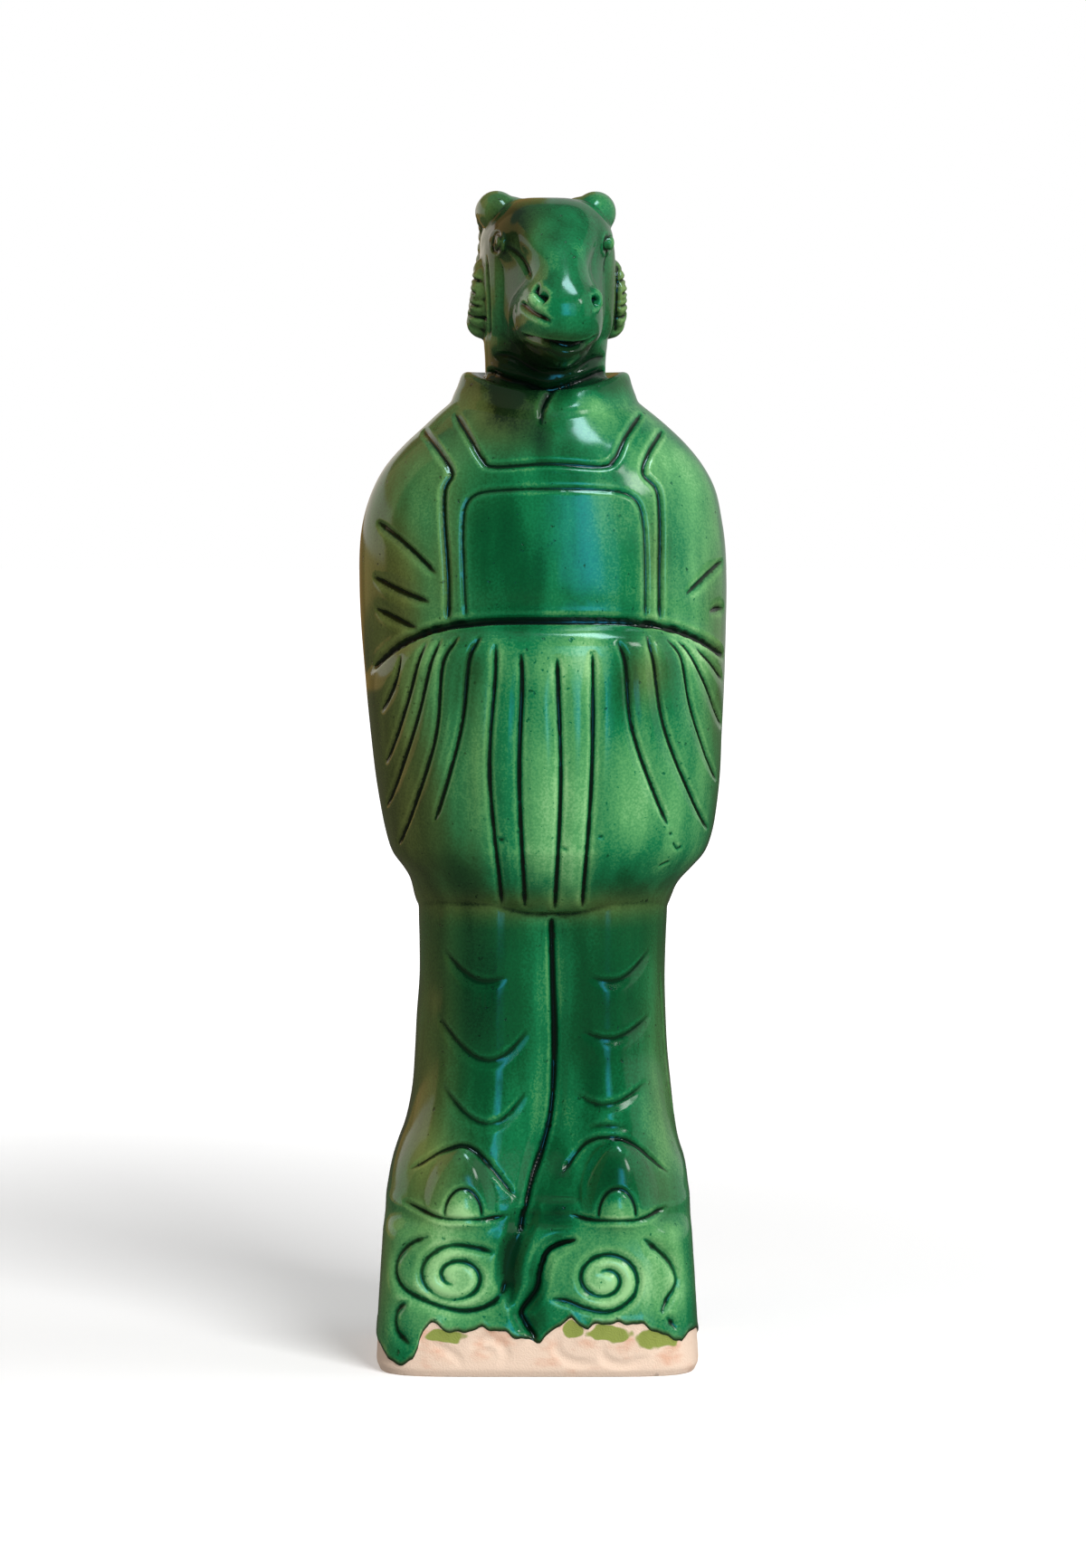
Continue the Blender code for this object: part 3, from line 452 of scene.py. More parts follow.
@dataclass
class Robe:
    """The robe: its skirt over the legs, the wide sleeves, the cloth over the clasped hands, collar and neck."""

    measure: Measure
    hem_half_width: float = 69.4 / 2 - 1.8 - 0.2  # just inside the base's tapered top
    hem_fade: float = 26.0  # how far up the skirt takes to reach its own width
    skirt: tuple[Row, ...] = (
        (18.0, -1.2, 32.0, 24.0, 24.0, 3.2),
        (33.0, -1.1, 32.4, 28.6, 24.6, 4.6),
        (38.0, -1.1, 32.0, 27.9, 24.4, 4.2),
        (42.0, -1.0, 31.4, 27.1, 24.2, 3.7),
        (46.0, -1.0, 30.2, 26.2, 24.0, 3.2),
        (51.0, -0.6, 28.9, 25.4, 23.8, 2.9),
        (58.0, -0.3, 27.9, 24.8, 23.6, 2.7),
        (66.0, -0.4, 27.2, 24.4, 23.4, 2.6),
        (74.0, -0.4, 26.8, 24.3, 23.2, 2.6),
        (82.0, -0.2, 26.4, 24.2, 23.0, 2.6),
        (90.0, -0.1, 26.5, 24.2, 22.8, 2.6),
        (98.0, 0.0, 26.7, 24.0, 22.6, 2.6),
        (108.0, 0.3, 26.2, 23.0, 22.0, 2.6),
        (114.0, 0.3, 22.0, 20.0, 20.0, 2.4),
    )
    sleeves: tuple[Row, ...] = (
        (96.8, 0.0, 21.0, 16.0, 19.0, 2.3),
        (97.4, 0.0, 26.4, 19.6, 22.4, 2.4),
        (99.0, 0.0, 27.5, 21.2, 24.2, 2.4),
        (101.5, 0.2, 28.3, 22.6, 25.2, 2.4),
        (103.5, 0.6, 29.3, 23.6, 25.8, 2.4),
        (105.8, 1.0, 31.1, 24.4, 26.4, 2.4),
        (109.0, 1.2, 33.6, 25.2, 27.2, 2.4),
        (113.5, 1.3, 35.1, 25.8, 27.7, 2.4),
        (119.0, 1.2, 36.1, 26.2, 28.0, 2.4),
        (126.0, 1.0, 37.0, 26.5, 28.1, 2.4),
        (134.0, 0.7, 37.6, 26.6, 28.1, 2.4),
        (142.0, 0.5, 38.2, 26.4, 28.0, 2.4),
        (150.0, 0.3, 38.7, 26.3, 27.8, 2.4),
        (158.0, 0.1, 39.1, 26.6, 27.5, 2.4),
        (166.0, 0.0, 39.3, 26.9, 27.0, 2.4),
        (174.0, -0.1, 39.1, 26.7, 26.2, 2.35),
        (180.0, -0.1, 38.3, 25.9, 25.2, 2.3),
        (186.0, 0.2, 36.7, 24.8, 23.8, 2.25),
        (191.0, 0.3, 34.1, 23.4, 21.8, 2.2),
        (195.5, 0.5, 30.4, 21.6, 19.4, 2.15),
        (199.5, 0.6, 26.2, 19.4, 17.0, 2.1),
        (203.0, 0.4, 22.2, 17.0, 14.8, 2.1),
        (206.0, 0.3, 18.0, 14.0, 12.6, 2.1),
        (208.0, 0.3, 12.0, 10.0, 9.0, 2.0),
    )
    collar: tuple[Row, ...] = (
        (196.0, 0.3, 20.0, 19.6, 15.0, 2.1),
        (200.5, 0.3, 20.6, 18.6, 15.4, 2.1),
        (205.0, 0.3, 19.9, 17.4, 15.3, 2.1),
        (208.4, 0.4, 18.6, 16.0, 14.6, 2.1),
        (210.6, 0.5, 17.9, 15.2, 14.2, 2.1),
        (211.3, 0.5, 16.9, 14.4, 13.4, 2.1),
        (211.1, 0.5, 15.4, 13.2, 12.5, 2.1),
        (210.0, 0.5, 13.4, 11.6, 11.4, 2.1),
        (206.5, 0.5, 10.5, 9.5, 9.0, 2.1),
    )
    collar_dip: float = 4.0
    dip_start: float = 203.0
    dip_rise: float = 8.0
    neck: tuple[Row, ...] = (
        (203.0, 0.5, 12.6, 11.0, 11.0, 2.2),
        (209.0, 0.5, 12.8, 11.2, 11.2, 2.2),
        (214.0, 0.5, 12.9, 11.6, 11.4, 2.3),
        (219.0, 0.6, 13.2, 12.0, 12.0, 2.4),
        (226.0, 0.7, 12.4, 11.0, 12.0, 2.4),
    )
    drape_push: float = 6.6
    drape_round: float = 6.5
    drape_crest: float = 158.6
    drape_middle: float = 2.5
    drape_half_width: float = 38.0
    drape_fall: float = 9.8
    drape_hem: float = 14.0  # how far above the sleeves' foot the cloth reaches its full swell
    valley_x: float = 2.0
    valley_depth: float = 4.6
    valley_reach: float = 14.0
    valley_rise: float = 16.0
    valley_end: float = 0.2
    neckline: tuple[Row, ...] = ((-18.8, 21.0, 202.6), (-15.6, 17.5, 197.6), (-12.9, 15.2, 193.0),
                                 (-10.2, 12.2, 191.4))
    neckline_middle: tuple[float, float] = (1.2, 192.0)
    bib_edge: tuple[Row, ...] = (
        (-25.5, 25.5, 199.0), (-21.7, 22.4, 194.2), (-19.3, 21.2, 190.0), (-20.7, 24.0, 186.6),
        (-20.8, 24.7, 180.5), (-20.0, 24.6, 168.8), (-19.9, 24.6, 158.4),
    )
    bib_panel: tuple[Row, ...] = (
        (-16.1, 21.5, 158.8), (-16.6, 21.5, 169.0), (-16.8, 21.2, 178.0), (-16.2, 20.2, 183.2),
        (-13.6, 17.4, 185.7), (-7.4, 11.4, 186.5),
    )
    bib_panel_middle: tuple[float, float] = (2.3, 186.7)
    sleeve_folds: tuple[Path, ...] = (
        ((-35.3, 179.8), (-28.9, 174.8), (-22.2, 168.7)),
        ((-36.1, 168.1), (-30.5, 165.3), (-23.6, 162.8)),
        ((-35.6, 161.4), (-31.7, 159.5), (-26.4, 157.2)),
        ((38.3, 171.2), (34.7, 168.1), (29.9, 164.2)),
        ((38.6, 161.1), (37.2, 161.2), (35.2, 160.6)),
    )
    pleats: tuple[Row, ...] = (
        (-29.8, -30.3, -31.6, -34.2, 139.5),
        (-24.4, -26.4, -29.1, -33.3, 128.6),
        (-21.4, -23.8, -27.2, -33.3, 119.1),
        (-17.6, -21.3, -23.2, -30.8, 111.0),
        (-12.9, -15.6, -17.4, -22.9, 116.8),
        (-9.8, -10.1, -11.3, -8.7, 99.0),
        (-4.6, -4.4, -5.0, -3.8, 98.4),
        (2.9, 3.2, 3.7, 2.5, 97.8),
        (10.3, 10.5, 10.2, 8.3, 98.2),
        (15.6, 17.4, 19.1, 26.4, 115.9),
        (21.7, 23.4, 26.2, 35.1, 114.3),
        (25.7, 29.4, 31.7, 36.9, 124.7),
        (28.0, 31.0, 34.7, 38.1, 136.2),
        (32.0, 33.2, 36.0, 38.2, 146.0),
    )
    leg_folds: tuple[Path, ...] = (
        ((-21.1, 89.5), (-12.2, 82.9), (-7.5, 84.3)),
        ((-22.1, 75.1), (-11.5, 66.2), (-3.0, 72.9)),
        ((-21.3, 60.6), (-11.5, 52.9), (-3.5, 59.7)),
        ((9.5, 84.3), (14.6, 82.9), (22.8, 89.5)),
        ((8.2, 72.5), (14.0, 70.7), (22.8, 75.5)),
        ((7.2, 59.2), (12.5, 56.7), (22.0, 61.4)),
        ((9.3, 51.6), (12.9, 52.4), (18.2, 51.9)),
    )
    leg_seam: Path = ((1.8, 96.2), (2.1, 84.2), (2.4, 68.0), (1.6, 54.1), (-1.9, 42.0), (-5.0, 31.0))
    leg_side_fold: Path = ((24.8, 84.1), (26.4, 62.0), (29.0, 47.4))
    throat: Path = ((2.2, 207.8), (0.7, 205.6), (-0.1, 203.2), (-0.5, 199.8))
    collar_seam: Path = ((-14.2, 212.4), (-8.8, 209.9), (-3.9, 208.7), (0.7, 207.5), (6.4, 208.7), (12.0, 210.8),
                         (15.8, 212.6))
    nicks: tuple[Path, ...] = (
        ((-9.7, 114.3), (-8.9, 113.3), (-8.2, 114.2)),
        ((2.8, 112.5), (4.0, 111.8), (5.3, 111.3)),
        ((11.4, 113.9), (12.8, 114.5)),
        ((24.2, 107.3), (25.6, 107.9), (26.9, 108.5)),
        ((27.3, 112.6), (28.3, 111.0), (29.4, 111.8)),
        ((26.4, 114.6), (27.4, 114.0)),
    )
    crest_ends: tuple[float, float] = (-36.0, 38.5)
    crest_lift: float = 0.4
    pleat_gap: float = 1.5  # how far under the crest a pleat starts
    pleat_middle_gap: float = 5.0  # how much further in the middle
    pleat_middle_reach: float = 16.0
    pleat_shares: tuple[float, float] = (0.14, 0.5)  # of its fall, at its shoulder and waist
    back_pleats: tuple[float, ...] = (-21.0, -10.5, 0.0, 10.5, 21.0)
    back_pleat: Path = ((0.7, 152.0), (0.9, 132.0), (1.0, 104.0))  # share of its x, and height
    back_seam: Path = ((0.0, 94.0), (0.0, 64.0), (0.0, 36.0))
    side_fold: Path = ((6.0, 186.0), (11.0, 150.0), (6.0, 110.0))
    yoke_height: float = 190.0
    yoke_rise: float = 5.0
    yoke_half_width: float = 24.0
    yoke_end: float = 26.0
    neckline_cut: Cut = Cut(1.05, 0.8)
    panel_cut: Cut = Cut(0.9, 0.5)
    bib_cut: Cut = Cut(1.1, 0.85)
    throat_cut: Cut = Cut(1.2, 1.1, tips=5.0)
    collar_seam_cut: Cut = Cut(1.3, 1.3)
    leg_seam_cuts: tuple[Cut, ...] = (Cut(1.0, 1.0, tips=1.5), Cut(3.6, 1.0, broad=True))
    leg_side_cut: Cut = Cut(1.0, 0.5)
    crest_cut: Cut = Cut(1.5, 1.3)
    sleeve_cuts: tuple[Cut, ...] = (Cut(0.9, 0.75, fade=1.8), Cut(3.2, 0.5, tips=8.0, broad=True))
    pleat_cuts: tuple[Cut, ...] = (Cut(0.85, 0.75), Cut(2.9, 0.55, tips=9.0, broad=True))
    leg_cut: Cut = Cut(0.9, 0.6, tips=5.0, fade=2.6)
    nick_cut: Cut = Cut(0.6, 0.4, tips=0.6)
    plain_cut: Cut = Cut(1.1, 0.8)

    def crest(self, x: np.ndarray | float) -> np.ndarray | float:
        """Height of the top edge of the cloth that hangs over the hands.

        Args:
            x: where across the figure.

        Returns:
            The height there, in design millimetres.
        """
        return self.drape_crest - self.drape_fall * ((x - self.drape_middle) / self.drape_half_width) ** 4

    @staticmethod
    def frontness(ring: np.ndarray, row: np.ndarray) -> np.ndarray:
        """0 at the sides and the back of a ring, 1 at the middle of its front."""
        return np.clip(-ring[:, 1] / row[3], 0.0, 1.0)

    def push_drape(self, ring: np.ndarray, row: np.ndarray) -> np.ndarray:
        """Swells the front of the sleeves into the cloth over the hands.

        Args:
            ring: the ring's points.
            row: its sizes.

        Returns:
            The points, pushed out below the crest.
        """
        below = np.clip((self.crest(ring[:, 0]) - ring[:, 2]) / self.drape_round, 0.0, 1.0)
        rolled = np.sqrt(1.0 - (1.0 - below) ** 2)
        hem = np.clip((row[0] - self.sleeves[0][0]) / self.drape_hem, 0.0, 1.0) ** 0.5
        ring[:, 1] -= self.drape_push * rolled * hem * self.frontness(ring, row) ** 0.8
        return ring

    def part_legs(self, ring: np.ndarray, row: np.ndarray) -> np.ndarray:
        """Presses a valley between the legs into the front of the skirt, which runs out towards the base.

        Args:
            ring: the ring's points.
            row: its sizes.

        Returns:
            The points, with the valley in them.
        """
        away = np.clip(np.abs(ring[:, 0] - self.valley_x) / self.valley_reach, 0.0, 1.0)
        valley = 0.5 * (1.0 + np.cos(math.pi * away))
        rise = (row[0] - self.measure.design_base) / self.valley_rise
        depth = self.valley_depth * min(1.0, max(self.valley_end, rise))
        ring[:, 1] += depth * valley * self.frontness(ring, row)
        return ring

    def dip_collar(self, ring: np.ndarray, row: np.ndarray) -> np.ndarray:
        """Lets the collar's rim fall to the throat.

        Args:
            ring: the ring's points.
            row: its sizes.

        Returns:
            The points, lower at the front.
        """
        rise = np.clip((row[0] - self.dip_start) / self.dip_rise, 0.0, 1.0)
        ring[:, 2] -= self.collar_dip * rise * self.frontness(ring, row) ** 2
        return ring

    def solids(self) -> list[bpy.types.Object]:
        """Skirt, sleeves, collar and neck.

        Returns:
            Closed forms that overlap.
        """
        ground = self.measure.design_base
        skirt = []
        for height, centre, half_width, *rest in self.skirt:
            low = max(0.0, 1.0 - max(0.0, height - ground) / self.hem_fade)
            spread = (self.hem_half_width - self.skirt[1][2]) * low
            skirt.append((height, centre, half_width + spread, *rest))
        lofts = (
            Loft(skirt, reshape=self.part_legs),
            Loft(self.sleeves, columns=160, steps=8, reshape=self.push_drape),
            Loft(self.collar, reshape=self.dip_collar),
            Loft(self.neck),
        )
        return [loft.solid(self.measure.figure) for loft in lofts]

    @staticmethod
    def two_sided(rows: Sequence[Row], middle: tuple[float, float]) -> list[tuple[float, float]]:
        """A line up the left column of the rows, over the middle and down the right column.

        Args:
            rows: x on the left, x on the right, height.
            middle: the point between the two columns.

        Returns:
            The points of the line.
        """
        return [*((row[0], row[2]) for row in rows), middle, *((row[1], row[2]) for row in reversed(rows))]

    @staticmethod
    def sag(fold: Path) -> list[tuple[float, float]]:
        """A fold that hangs from its two ends.

        Args:
            fold: one end, the lowest point and the other end.

        Returns:
            The points of the fold.
        """
        (x0, z0), (x1, z1), (x2, z2) = fold
        points = []
        for k in range(13):
            share = 1.0 - k / 6.0
            end_x, end_z = (x0, z0) if share > 0 else (x2, z2)
            points.append((x1 + (end_x - x1) * abs(share), z1 + (end_z - z1) * share**2))
        return points

    def pleat(self, row: Row) -> Path:
        """A pleat of the hanging cloth, from just under its crest to its foot.

        Args:
            row: its x at the start, near its top, half way and at its foot, and its foot's height.

        Returns:
            The points of the pleat.
        """
        start, shoulder, waist, foot, foot_height = row
        middle = max(0.0, 1.0 - ((start - self.drape_middle) / self.pleat_middle_reach) ** 2)
        top = self.crest(start) - self.pleat_gap - self.pleat_middle_gap * middle
        at_shoulder, at_waist = (top - share * (top - foot_height) for share in self.pleat_shares)
        return ((start, top), (shoulder, at_shoulder), (waist, at_waist), (foot, foot_height))

    def strokes(self) -> list[Stroke]:
        """Lines of the collar, bib, sleeves, hanging cloth, legs and the plain back.

        Returns:
            Their strokes.
        """
        place = self.measure.figure
        crest = [(x, self.crest(x) + self.crest_lift) for x in np.linspace(*self.crest_ends, 25)]
        bib_sides = [[(row[column], row[2]) for row in self.bib_edge] for column in (0, 1)]
        yoke = [(x, self.yoke_height + self.yoke_rise * (x / self.yoke_half_width) ** 2)
                for x in np.linspace(-self.yoke_end, self.yoke_end, 9)]
        back_pleats = [[(share * x, height) for share, height in self.back_pleat] for x in self.back_pleats]
        return [
            Stroke(self.two_sided(self.neckline, self.neckline_middle), self.neckline_cut, place),
            Stroke(self.two_sided(self.bib_panel, self.bib_panel_middle), self.panel_cut, place),
            *strokes_along(bib_sides, [self.bib_cut], place),
            Stroke(self.throat, self.throat_cut, place),
            Stroke(self.collar_seam, self.collar_seam_cut, place),
            *strokes_along([self.leg_seam], self.leg_seam_cuts, place),
            Stroke(self.leg_side_fold, self.leg_side_cut, place),
            Stroke(crest, self.crest_cut, place),
            *strokes_along(self.sleeve_folds, self.sleeve_cuts, place),
            *strokes_along([self.pleat(row) for row in self.pleats], self.pleat_cuts, place),
            *strokes_along([self.sag(fold) for fold in self.leg_folds], [self.leg_cut], place),
            *strokes_along(self.nicks, [self.nick_cut], place),
            *strokes_along([yoke, *back_pleats, self.back_seam], [self.plain_cut], place, Facing.BACK),
            *strokes_along([self.side_fold], [self.plain_cut], place, Facing.LEFT),
            *strokes_along([self.side_fold], [self.plain_cut], place, Facing.RIGHT),
        ]


@dataclass
class Shoes:
    """The two shoes that stand out under the robe's hem, each with a round cap on its toe."""

    measure: Measure
    middles: tuple[tuple[float, float], ...] = ((-16.8, 0.0), (15.6, 1.4))
    rows: tuple[Row, ...] = (  # height, half width, reach to the front, squareness
        (29.5, 12.2, 28.6, 2.9),
        (33.0, 12.6, 30.6, 2.9),
        (36.5, 12.5, 30.7, 2.7),
        (40.0, 11.8, 30.1, 2.5),
        (43.5, 9.9, 29.0, 2.4),
        (46.4, 7.0, 27.4, 2.3),
        (47.8, 3.4, 25.8, 2.1),
    )
    heel_reach: float = 0.5  # the rest of the shoe is inside the skirt
    cap_radii: tuple[float, float, float] = (3.7, 1.9, 5.9)
    cap_at: tuple[float, float] = (-29.7, 33.6)
    rim: tuple[float, float] = (4.1, 6.3)  # half width and height of the line round a cap
    line_cut: Cut = Cut(1.0, 0.6)
    foot_cut: Cut = Cut(1.0, 0.7)
    rim_cut: Cut = Cut(0.65, 0.6, tips=0.5)
    sole_height: float = 32.6
    arches: tuple[Path, ...] = (
        ((-28.4, 42.6), (-20.4, 47.4), (-14.4, 47.4), (-5.6, 37.6)),
        ((3.8, 42.0), (9.6, 49.0), (17.6, 49.2), (27.0, 41.8)),
    )
    feet: tuple[Path, ...] = (
        ((-29.6, 36.6), (-22.0, 33.6), (-14.0, 33.2), (-7.4, 34.0)),
        ((5.6, 34.4), (10.2, 33.1), (19.9, 33.1), (26.4, 35.6)),
    )

    def solids(self) -> list[bpy.types.Object]:
        """Both shoes and their caps.

        Returns:
            Closed forms that overlap.
        """
        sole, top = self.rows[1][0], self.rows[-1][0]
        made = []
        for centre, rise in self.middles:
            rows = [
                (height + rise * max(0.0, height - sole) / (top - sole), centre, half_width, front,
                 self.heel_reach, square)
                for height, half_width, front, square in self.rows
            ]
            made.append(Loft(rows).solid(self.measure.figure))
            made.append(Ball((centre, *self.cap_at), self.cap_radii).solid(self.above_sole))
        return made

    def above_sole(self, points: np.ndarray) -> np.ndarray:
        """Design points of a toe's cap in metres: it stops at the sole, and has nothing below it.

        Args:
            points: design points.

        Returns:
            Points in metres.
        """
        points = np.array(points, float)
        points[:, 2] = np.maximum(points[:, 2], self.sole_height)
        return self.measure.figure(points)

    def strokes(self) -> list[Stroke]:
        """The robe's arches over the shoes, the line under them and the rims of the caps.

        Returns:
            Their strokes.
        """
        place = self.measure.figure
        wide, high = self.rim
        rims = [
            [(centre + wide * math.cos(t), self.cap_at[1] + high * math.sin(t)) for t in np.linspace(math.pi, 0.0, 9)]
            for centre, _ in self.middles
        ]
        return [
            *strokes_along(self.arches, [self.line_cut], place),
            *strokes_along(self.feet, [self.foot_cut], place),
            *strokes_along(rims, [self.rim_cut], place),
        ]


@dataclass
class Head:
    """The goat's head on the neck: skull, long face, eyes, nostrils and two curled ram's horns."""

    measure: Measure
    skull: tuple[Row, ...] = (
        (216.4, 0.0, 8.5, 6.0, 8.5, 2.6),
        (217.8, 0.0, 12.0, 9.0, 11.0, 2.8),
        (220.5, 0.0, 13.6, 11.5, 12.4, 3.1),
        (226.0, 0.0, 14.1, 12.5, 13.4, 3.3),
        (232.0, 0.0, 14.2, 12.5, 13.8, 3.3),
        (238.0, 0.0, 14.0, 11.5, 13.2, 3.0),
        (242.0, 0.0, 12.9, 9.0, 12.0, 2.6),
        (245.5, 0.0, 10.8, 8.0, 10.2, 2.4),
        (247.4, 0.0, 8.2, 6.0, 8.2, 2.3),
        (248.2, 0.0, 4.5, 3.5, 4.8, 2.1),
    )
    cheeks: tuple[Row, ...] = (
        (216.6, 0.0, 9.6, 12.0, 8.0, 2.5, 0.30),
        (217.6, 0.0, 11.6, 16.0, 10.0, 2.6, 0.36),
        (219.2, 0.0, 13.2, 20.0, 11.0, 2.8, 0.42),
        (222.0, 0.0, 13.9, 23.0, 12.0, 3.0, 0.48),
        (226.0, 0.0, 14.2, 24.0, 12.0, 3.0, 0.50),
        (230.0, 0.0, 14.3, 23.0, 12.0, 3.0, 0.48),
        (233.5, 0.0, 14.2, 21.0, 12.0, 3.0, 0.40),
        (236.5, 0.0, 14.1, 19.0, 12.0, 3.1, 0.26),
        (239.5, 0.0, 14.1, 17.6, 11.0, 3.2, 0.14),
        (242.2, 0.0, 13.2, 15.8, 10.0, 3.1, 0.10),
        (244.8, 0.0, 11.4, 13.4, 9.0, 2.9, 0.08),
        (246.8, 0.0, 9.0, 10.6, 7.0, 2.6, 0.05),
        (247.9, 0.0, 5.8, 7.0, 5.0, 2.3, 0.0),
    )
    muzzle: tuple[Row, ...] = (
        (211.8, 0.0, 2.4, 24.4, 2.0, 2.1, 0.05),
        (212.6, 0.0, 4.6, 26.8, 2.0, 2.2, 0.06),
        (214.0, 0.0, 6.5, 28.6, 3.0, 2.4, 0.06),
        (215.6, 0.0, 7.6, 29.4, 4.0, 2.6, 0.06),
        (216.8, 0.0, 8.3, 29.4, 5.0, 2.7, 0.06),
        (217.8, 0.0, 9.2, 30.6, 6.0, 2.8, 0.05),
        (219.6, 0.0, 10.0, 32.0, 6.0, 2.9, 0.05),
        (222.5, 0.0, 10.3, 32.7, 6.0, 3.0, 0.05),
        (225.5, 0.0, 10.1, 32.4, 6.0, 3.0, 0.05),
        (228.0, 0.0, 9.3, 31.2, 6.0, 2.9, 0.05),
        (230.3, 0.0, 8.2, 29.4, 6.0, 2.7, 0.04),
        (232.6, 0.0, 7.9, 27.3, 6.0, 2.6, 0.04),
        (235.2, 0.0, 8.7, 24.8, 6.0, 2.6, 0.04),
        (238.0, 0.0, 10.2, 22.0, 6.0, 2.8, 0.04),
        (241.0, 0.0, 11.4, 18.8, 6.0, 2.9, 0.04),
        (244.0, 0.0, 11.0, 15.2, 5.0, 2.8, 0.04),
        (246.3, 0.0, 9.4, 11.8, 4.0, 2.6, 0.04),
        (247.7, 0.0, 6.6, 8.0, 3.0, 2.3, 0.0),
    )
    bumps: tuple[Ball, ...] = (
        Ball((11.6, -12.1, 238.3), (1.1, 1.6, 1.7)),  # eyeball
        Ball((5.3, -27.4, 226.2), (2.6, 2.4, 2.6)),  # wing of the nostril
        Ball((8.0, 2.5, 244.3), (5.6, 7.5, 4.4)),  # root of the horn
    )
    horn: tuple[Row, ...] = (
        (8.8, -1.5, 241.0, 3.6),
        (10.4, 0.0, 244.9, 4.4),
        (10.7, 5.0, 245.2, 4.2),
        (9.9, 9.5, 242.2, 3.8),
        (10.0, 12.0, 236.4, 3.7),
        (11.4, 11.0, 228.8, 3.7),
        (12.8, 6.5, 223.4, 3.6),
        (13.6, 2.4, 221.8, 3.5),
        (13.9, -1.2, 225.0, 3.3),
        (13.9, -2.2, 230.0, 2.9),
        (13.6, 0.2, 233.4, 2.2),
        (13.2, 3.4, 233.0, 1.3),
    )
    ring_spacing: float = 2.7
    ring_relief: float = 0.24  # share of the horn's radius that a growth ring is deep
    ring_start: tuple[float, float] = (4.0, 12.0)  # from the horn's root, where the rings begin and are full
    mouth: Path = ((-4.6, 218.9), (-2.6, 217.9), (1.4, 217.0), (5.6, 216.3), (8.6, 217.0), (11.2, 218.5))
    lip_fold: Path = ((-4.8, 225.4), (-2.2, 223.1), (1.8, 221.2))
    smile_ridge: Path = ((-5.7, 226.0), (-6.2, 223.6), (-5.7, 220.4), (-4.2, 217.6), (-2.2, 215.6), (1.0, 213.6))
    tear_lines: tuple[Path, ...] = (
        ((-8.1, 237.8), (-5.2, 235.6), (-3.6, 233.4), (-2.4, 230.6)),
        ((13.9, 237.4), (13.1, 234.6), (12.8, 231.6)),
    )
    nostrils: tuple[Path, ...] = (((-1.9, 228.6), (-0.9, 227.5), (0.6, 225.6)), ((11.5, 226.8), (10.6, 224.9)))
    nostril_rims: tuple[Path, ...] = (
        ((-3.3, 226.8), (-2.0, 224.9), (0.2, 224.1), (1.4, 224.8)),
        ((12.3, 226.6), (11.6, 224.2), (9.8, 223.6)),
    )
    eyes: tuple[tuple[Facing, float, float, float, float], ...] = (  # middle and half sizes, as seen from there
        (Facing.FRONT, -9.8, 238.4, 0.8, 1.9),
        (Facing.RIGHT, -10.0, 238.3, 2.5, 1.7),
    )
    eye_lean: float = 0.10
    lid_gap: float = 0.75
    throat_folds: tuple[Path, ...] = (
        ((-10.6, 214.8), (-7.2, 214.4), (-4.8, 213.3), (-2.0, 211.6), (1.0, 210.6)),
        ((6.6, 211.2), (10.2, 213.6), (13.2, 214.4)),
    )
    horn_clefts: tuple[Path, ...] = (
        ((-12.0, 236.0), (-11.5, 227.0), (-11.3, 218.5)),
        ((16.0, 235.0), (15.9, 227.0), (15.6, 219.5)),
    )
    horn_notches: tuple[float, ...] = (222.8, 225.5, 228.2, 230.9)
    notch_fronts: tuple[tuple[Facing, float], ...] = ((Facing.LEFT, -6.6), (Facing.RIGHT, -2.7))
    notch: Path = ((0.0, -0.5), (4.6, 0.7))  # its ends, from the front of the curl
    mouth_cut: Cut = Cut(1.1, 1.4, tips=4.0)
    lip_cut: Cut = Cut(1.0, 1.0, tips=2.0)
    smile_cut: Cut = Cut(0.8, -0.28, tips=4.0)
    tear_cut: Cut = Cut(0.8, 0.6, fade=1.6)
    nostril_cut: Cut = Cut(1.35, 1.8, tips=0.6)
    nostril_rim_cut: Cut = Cut(0.8, -0.3, tips=1.5)
    cleft_cut: Cut = Cut(0.8, 0.9)
    throat_cut: Cut = Cut(1.2, 0.8)
    notch_cut: Cut = Cut(0.55, 0.8, tips=0.8)
    eye_cut: Cut = Cut(0.45, 0.45, tips=0.1)
    lid_cut: Cut = Cut(0.5, -0.2, tips=0.1)

    def horn_solid(self, side: int) -> bpy.types.Object:
        """A curled horn with growth rings.

        Args:
            side: 1 for the goat's left, -1 for its right.

        Returns:
            A bevelled curve, not yet in the scene.
        """
        path = through(self.horn, 14)
        points = self.measure.head(path[:, :3] * (side, 1, 1))
        lengths = np.concatenate([[0.0], np.cumsum(np.linalg.norm(np.diff(points, axis=0), axis=1))])
        spacing = self.ring_spacing * self.measure.share
        started = smooth_step(lengths / self.measure.share, *self.ring_start)
        rings = 1.0 - self.ring_relief * started * np.clip(np.cos(lengths / spacing * math.tau), 0.0, 1.0) ** 3
        curve = bpy.data.curves.new("horn", "CURVE")
        curve.dimensions = "3D"
        curve.bevel_depth = self.measure.share
        curve.bevel_resolution = 8
        curve.use_fill_caps = True
        spline = curve.splines.new("POLY")
        spline.points.add(len(points) - 1)
        for knot, point, radius in zip(spline.points, points, path[:, 3] * rings):
            knot.co = (*point, 1.0)
            knot.radius = radius
        return bpy.data.objects.new("horn", curve)

    def solids(self) -> list[bpy.types.Object]:
        """Skull, face, its bumps and the horns.

        Returns:
            Closed forms that overlap.
        """
        place = self.measure.head
        made = [Loft(rows).solid(place) for rows in (self.skull, self.cheeks, self.muzzle)]
        for side in (-1, 1):
            made += [bump.solid(place, side) for bump in self.bumps]
            made.append(self.horn_solid(side))
        return made

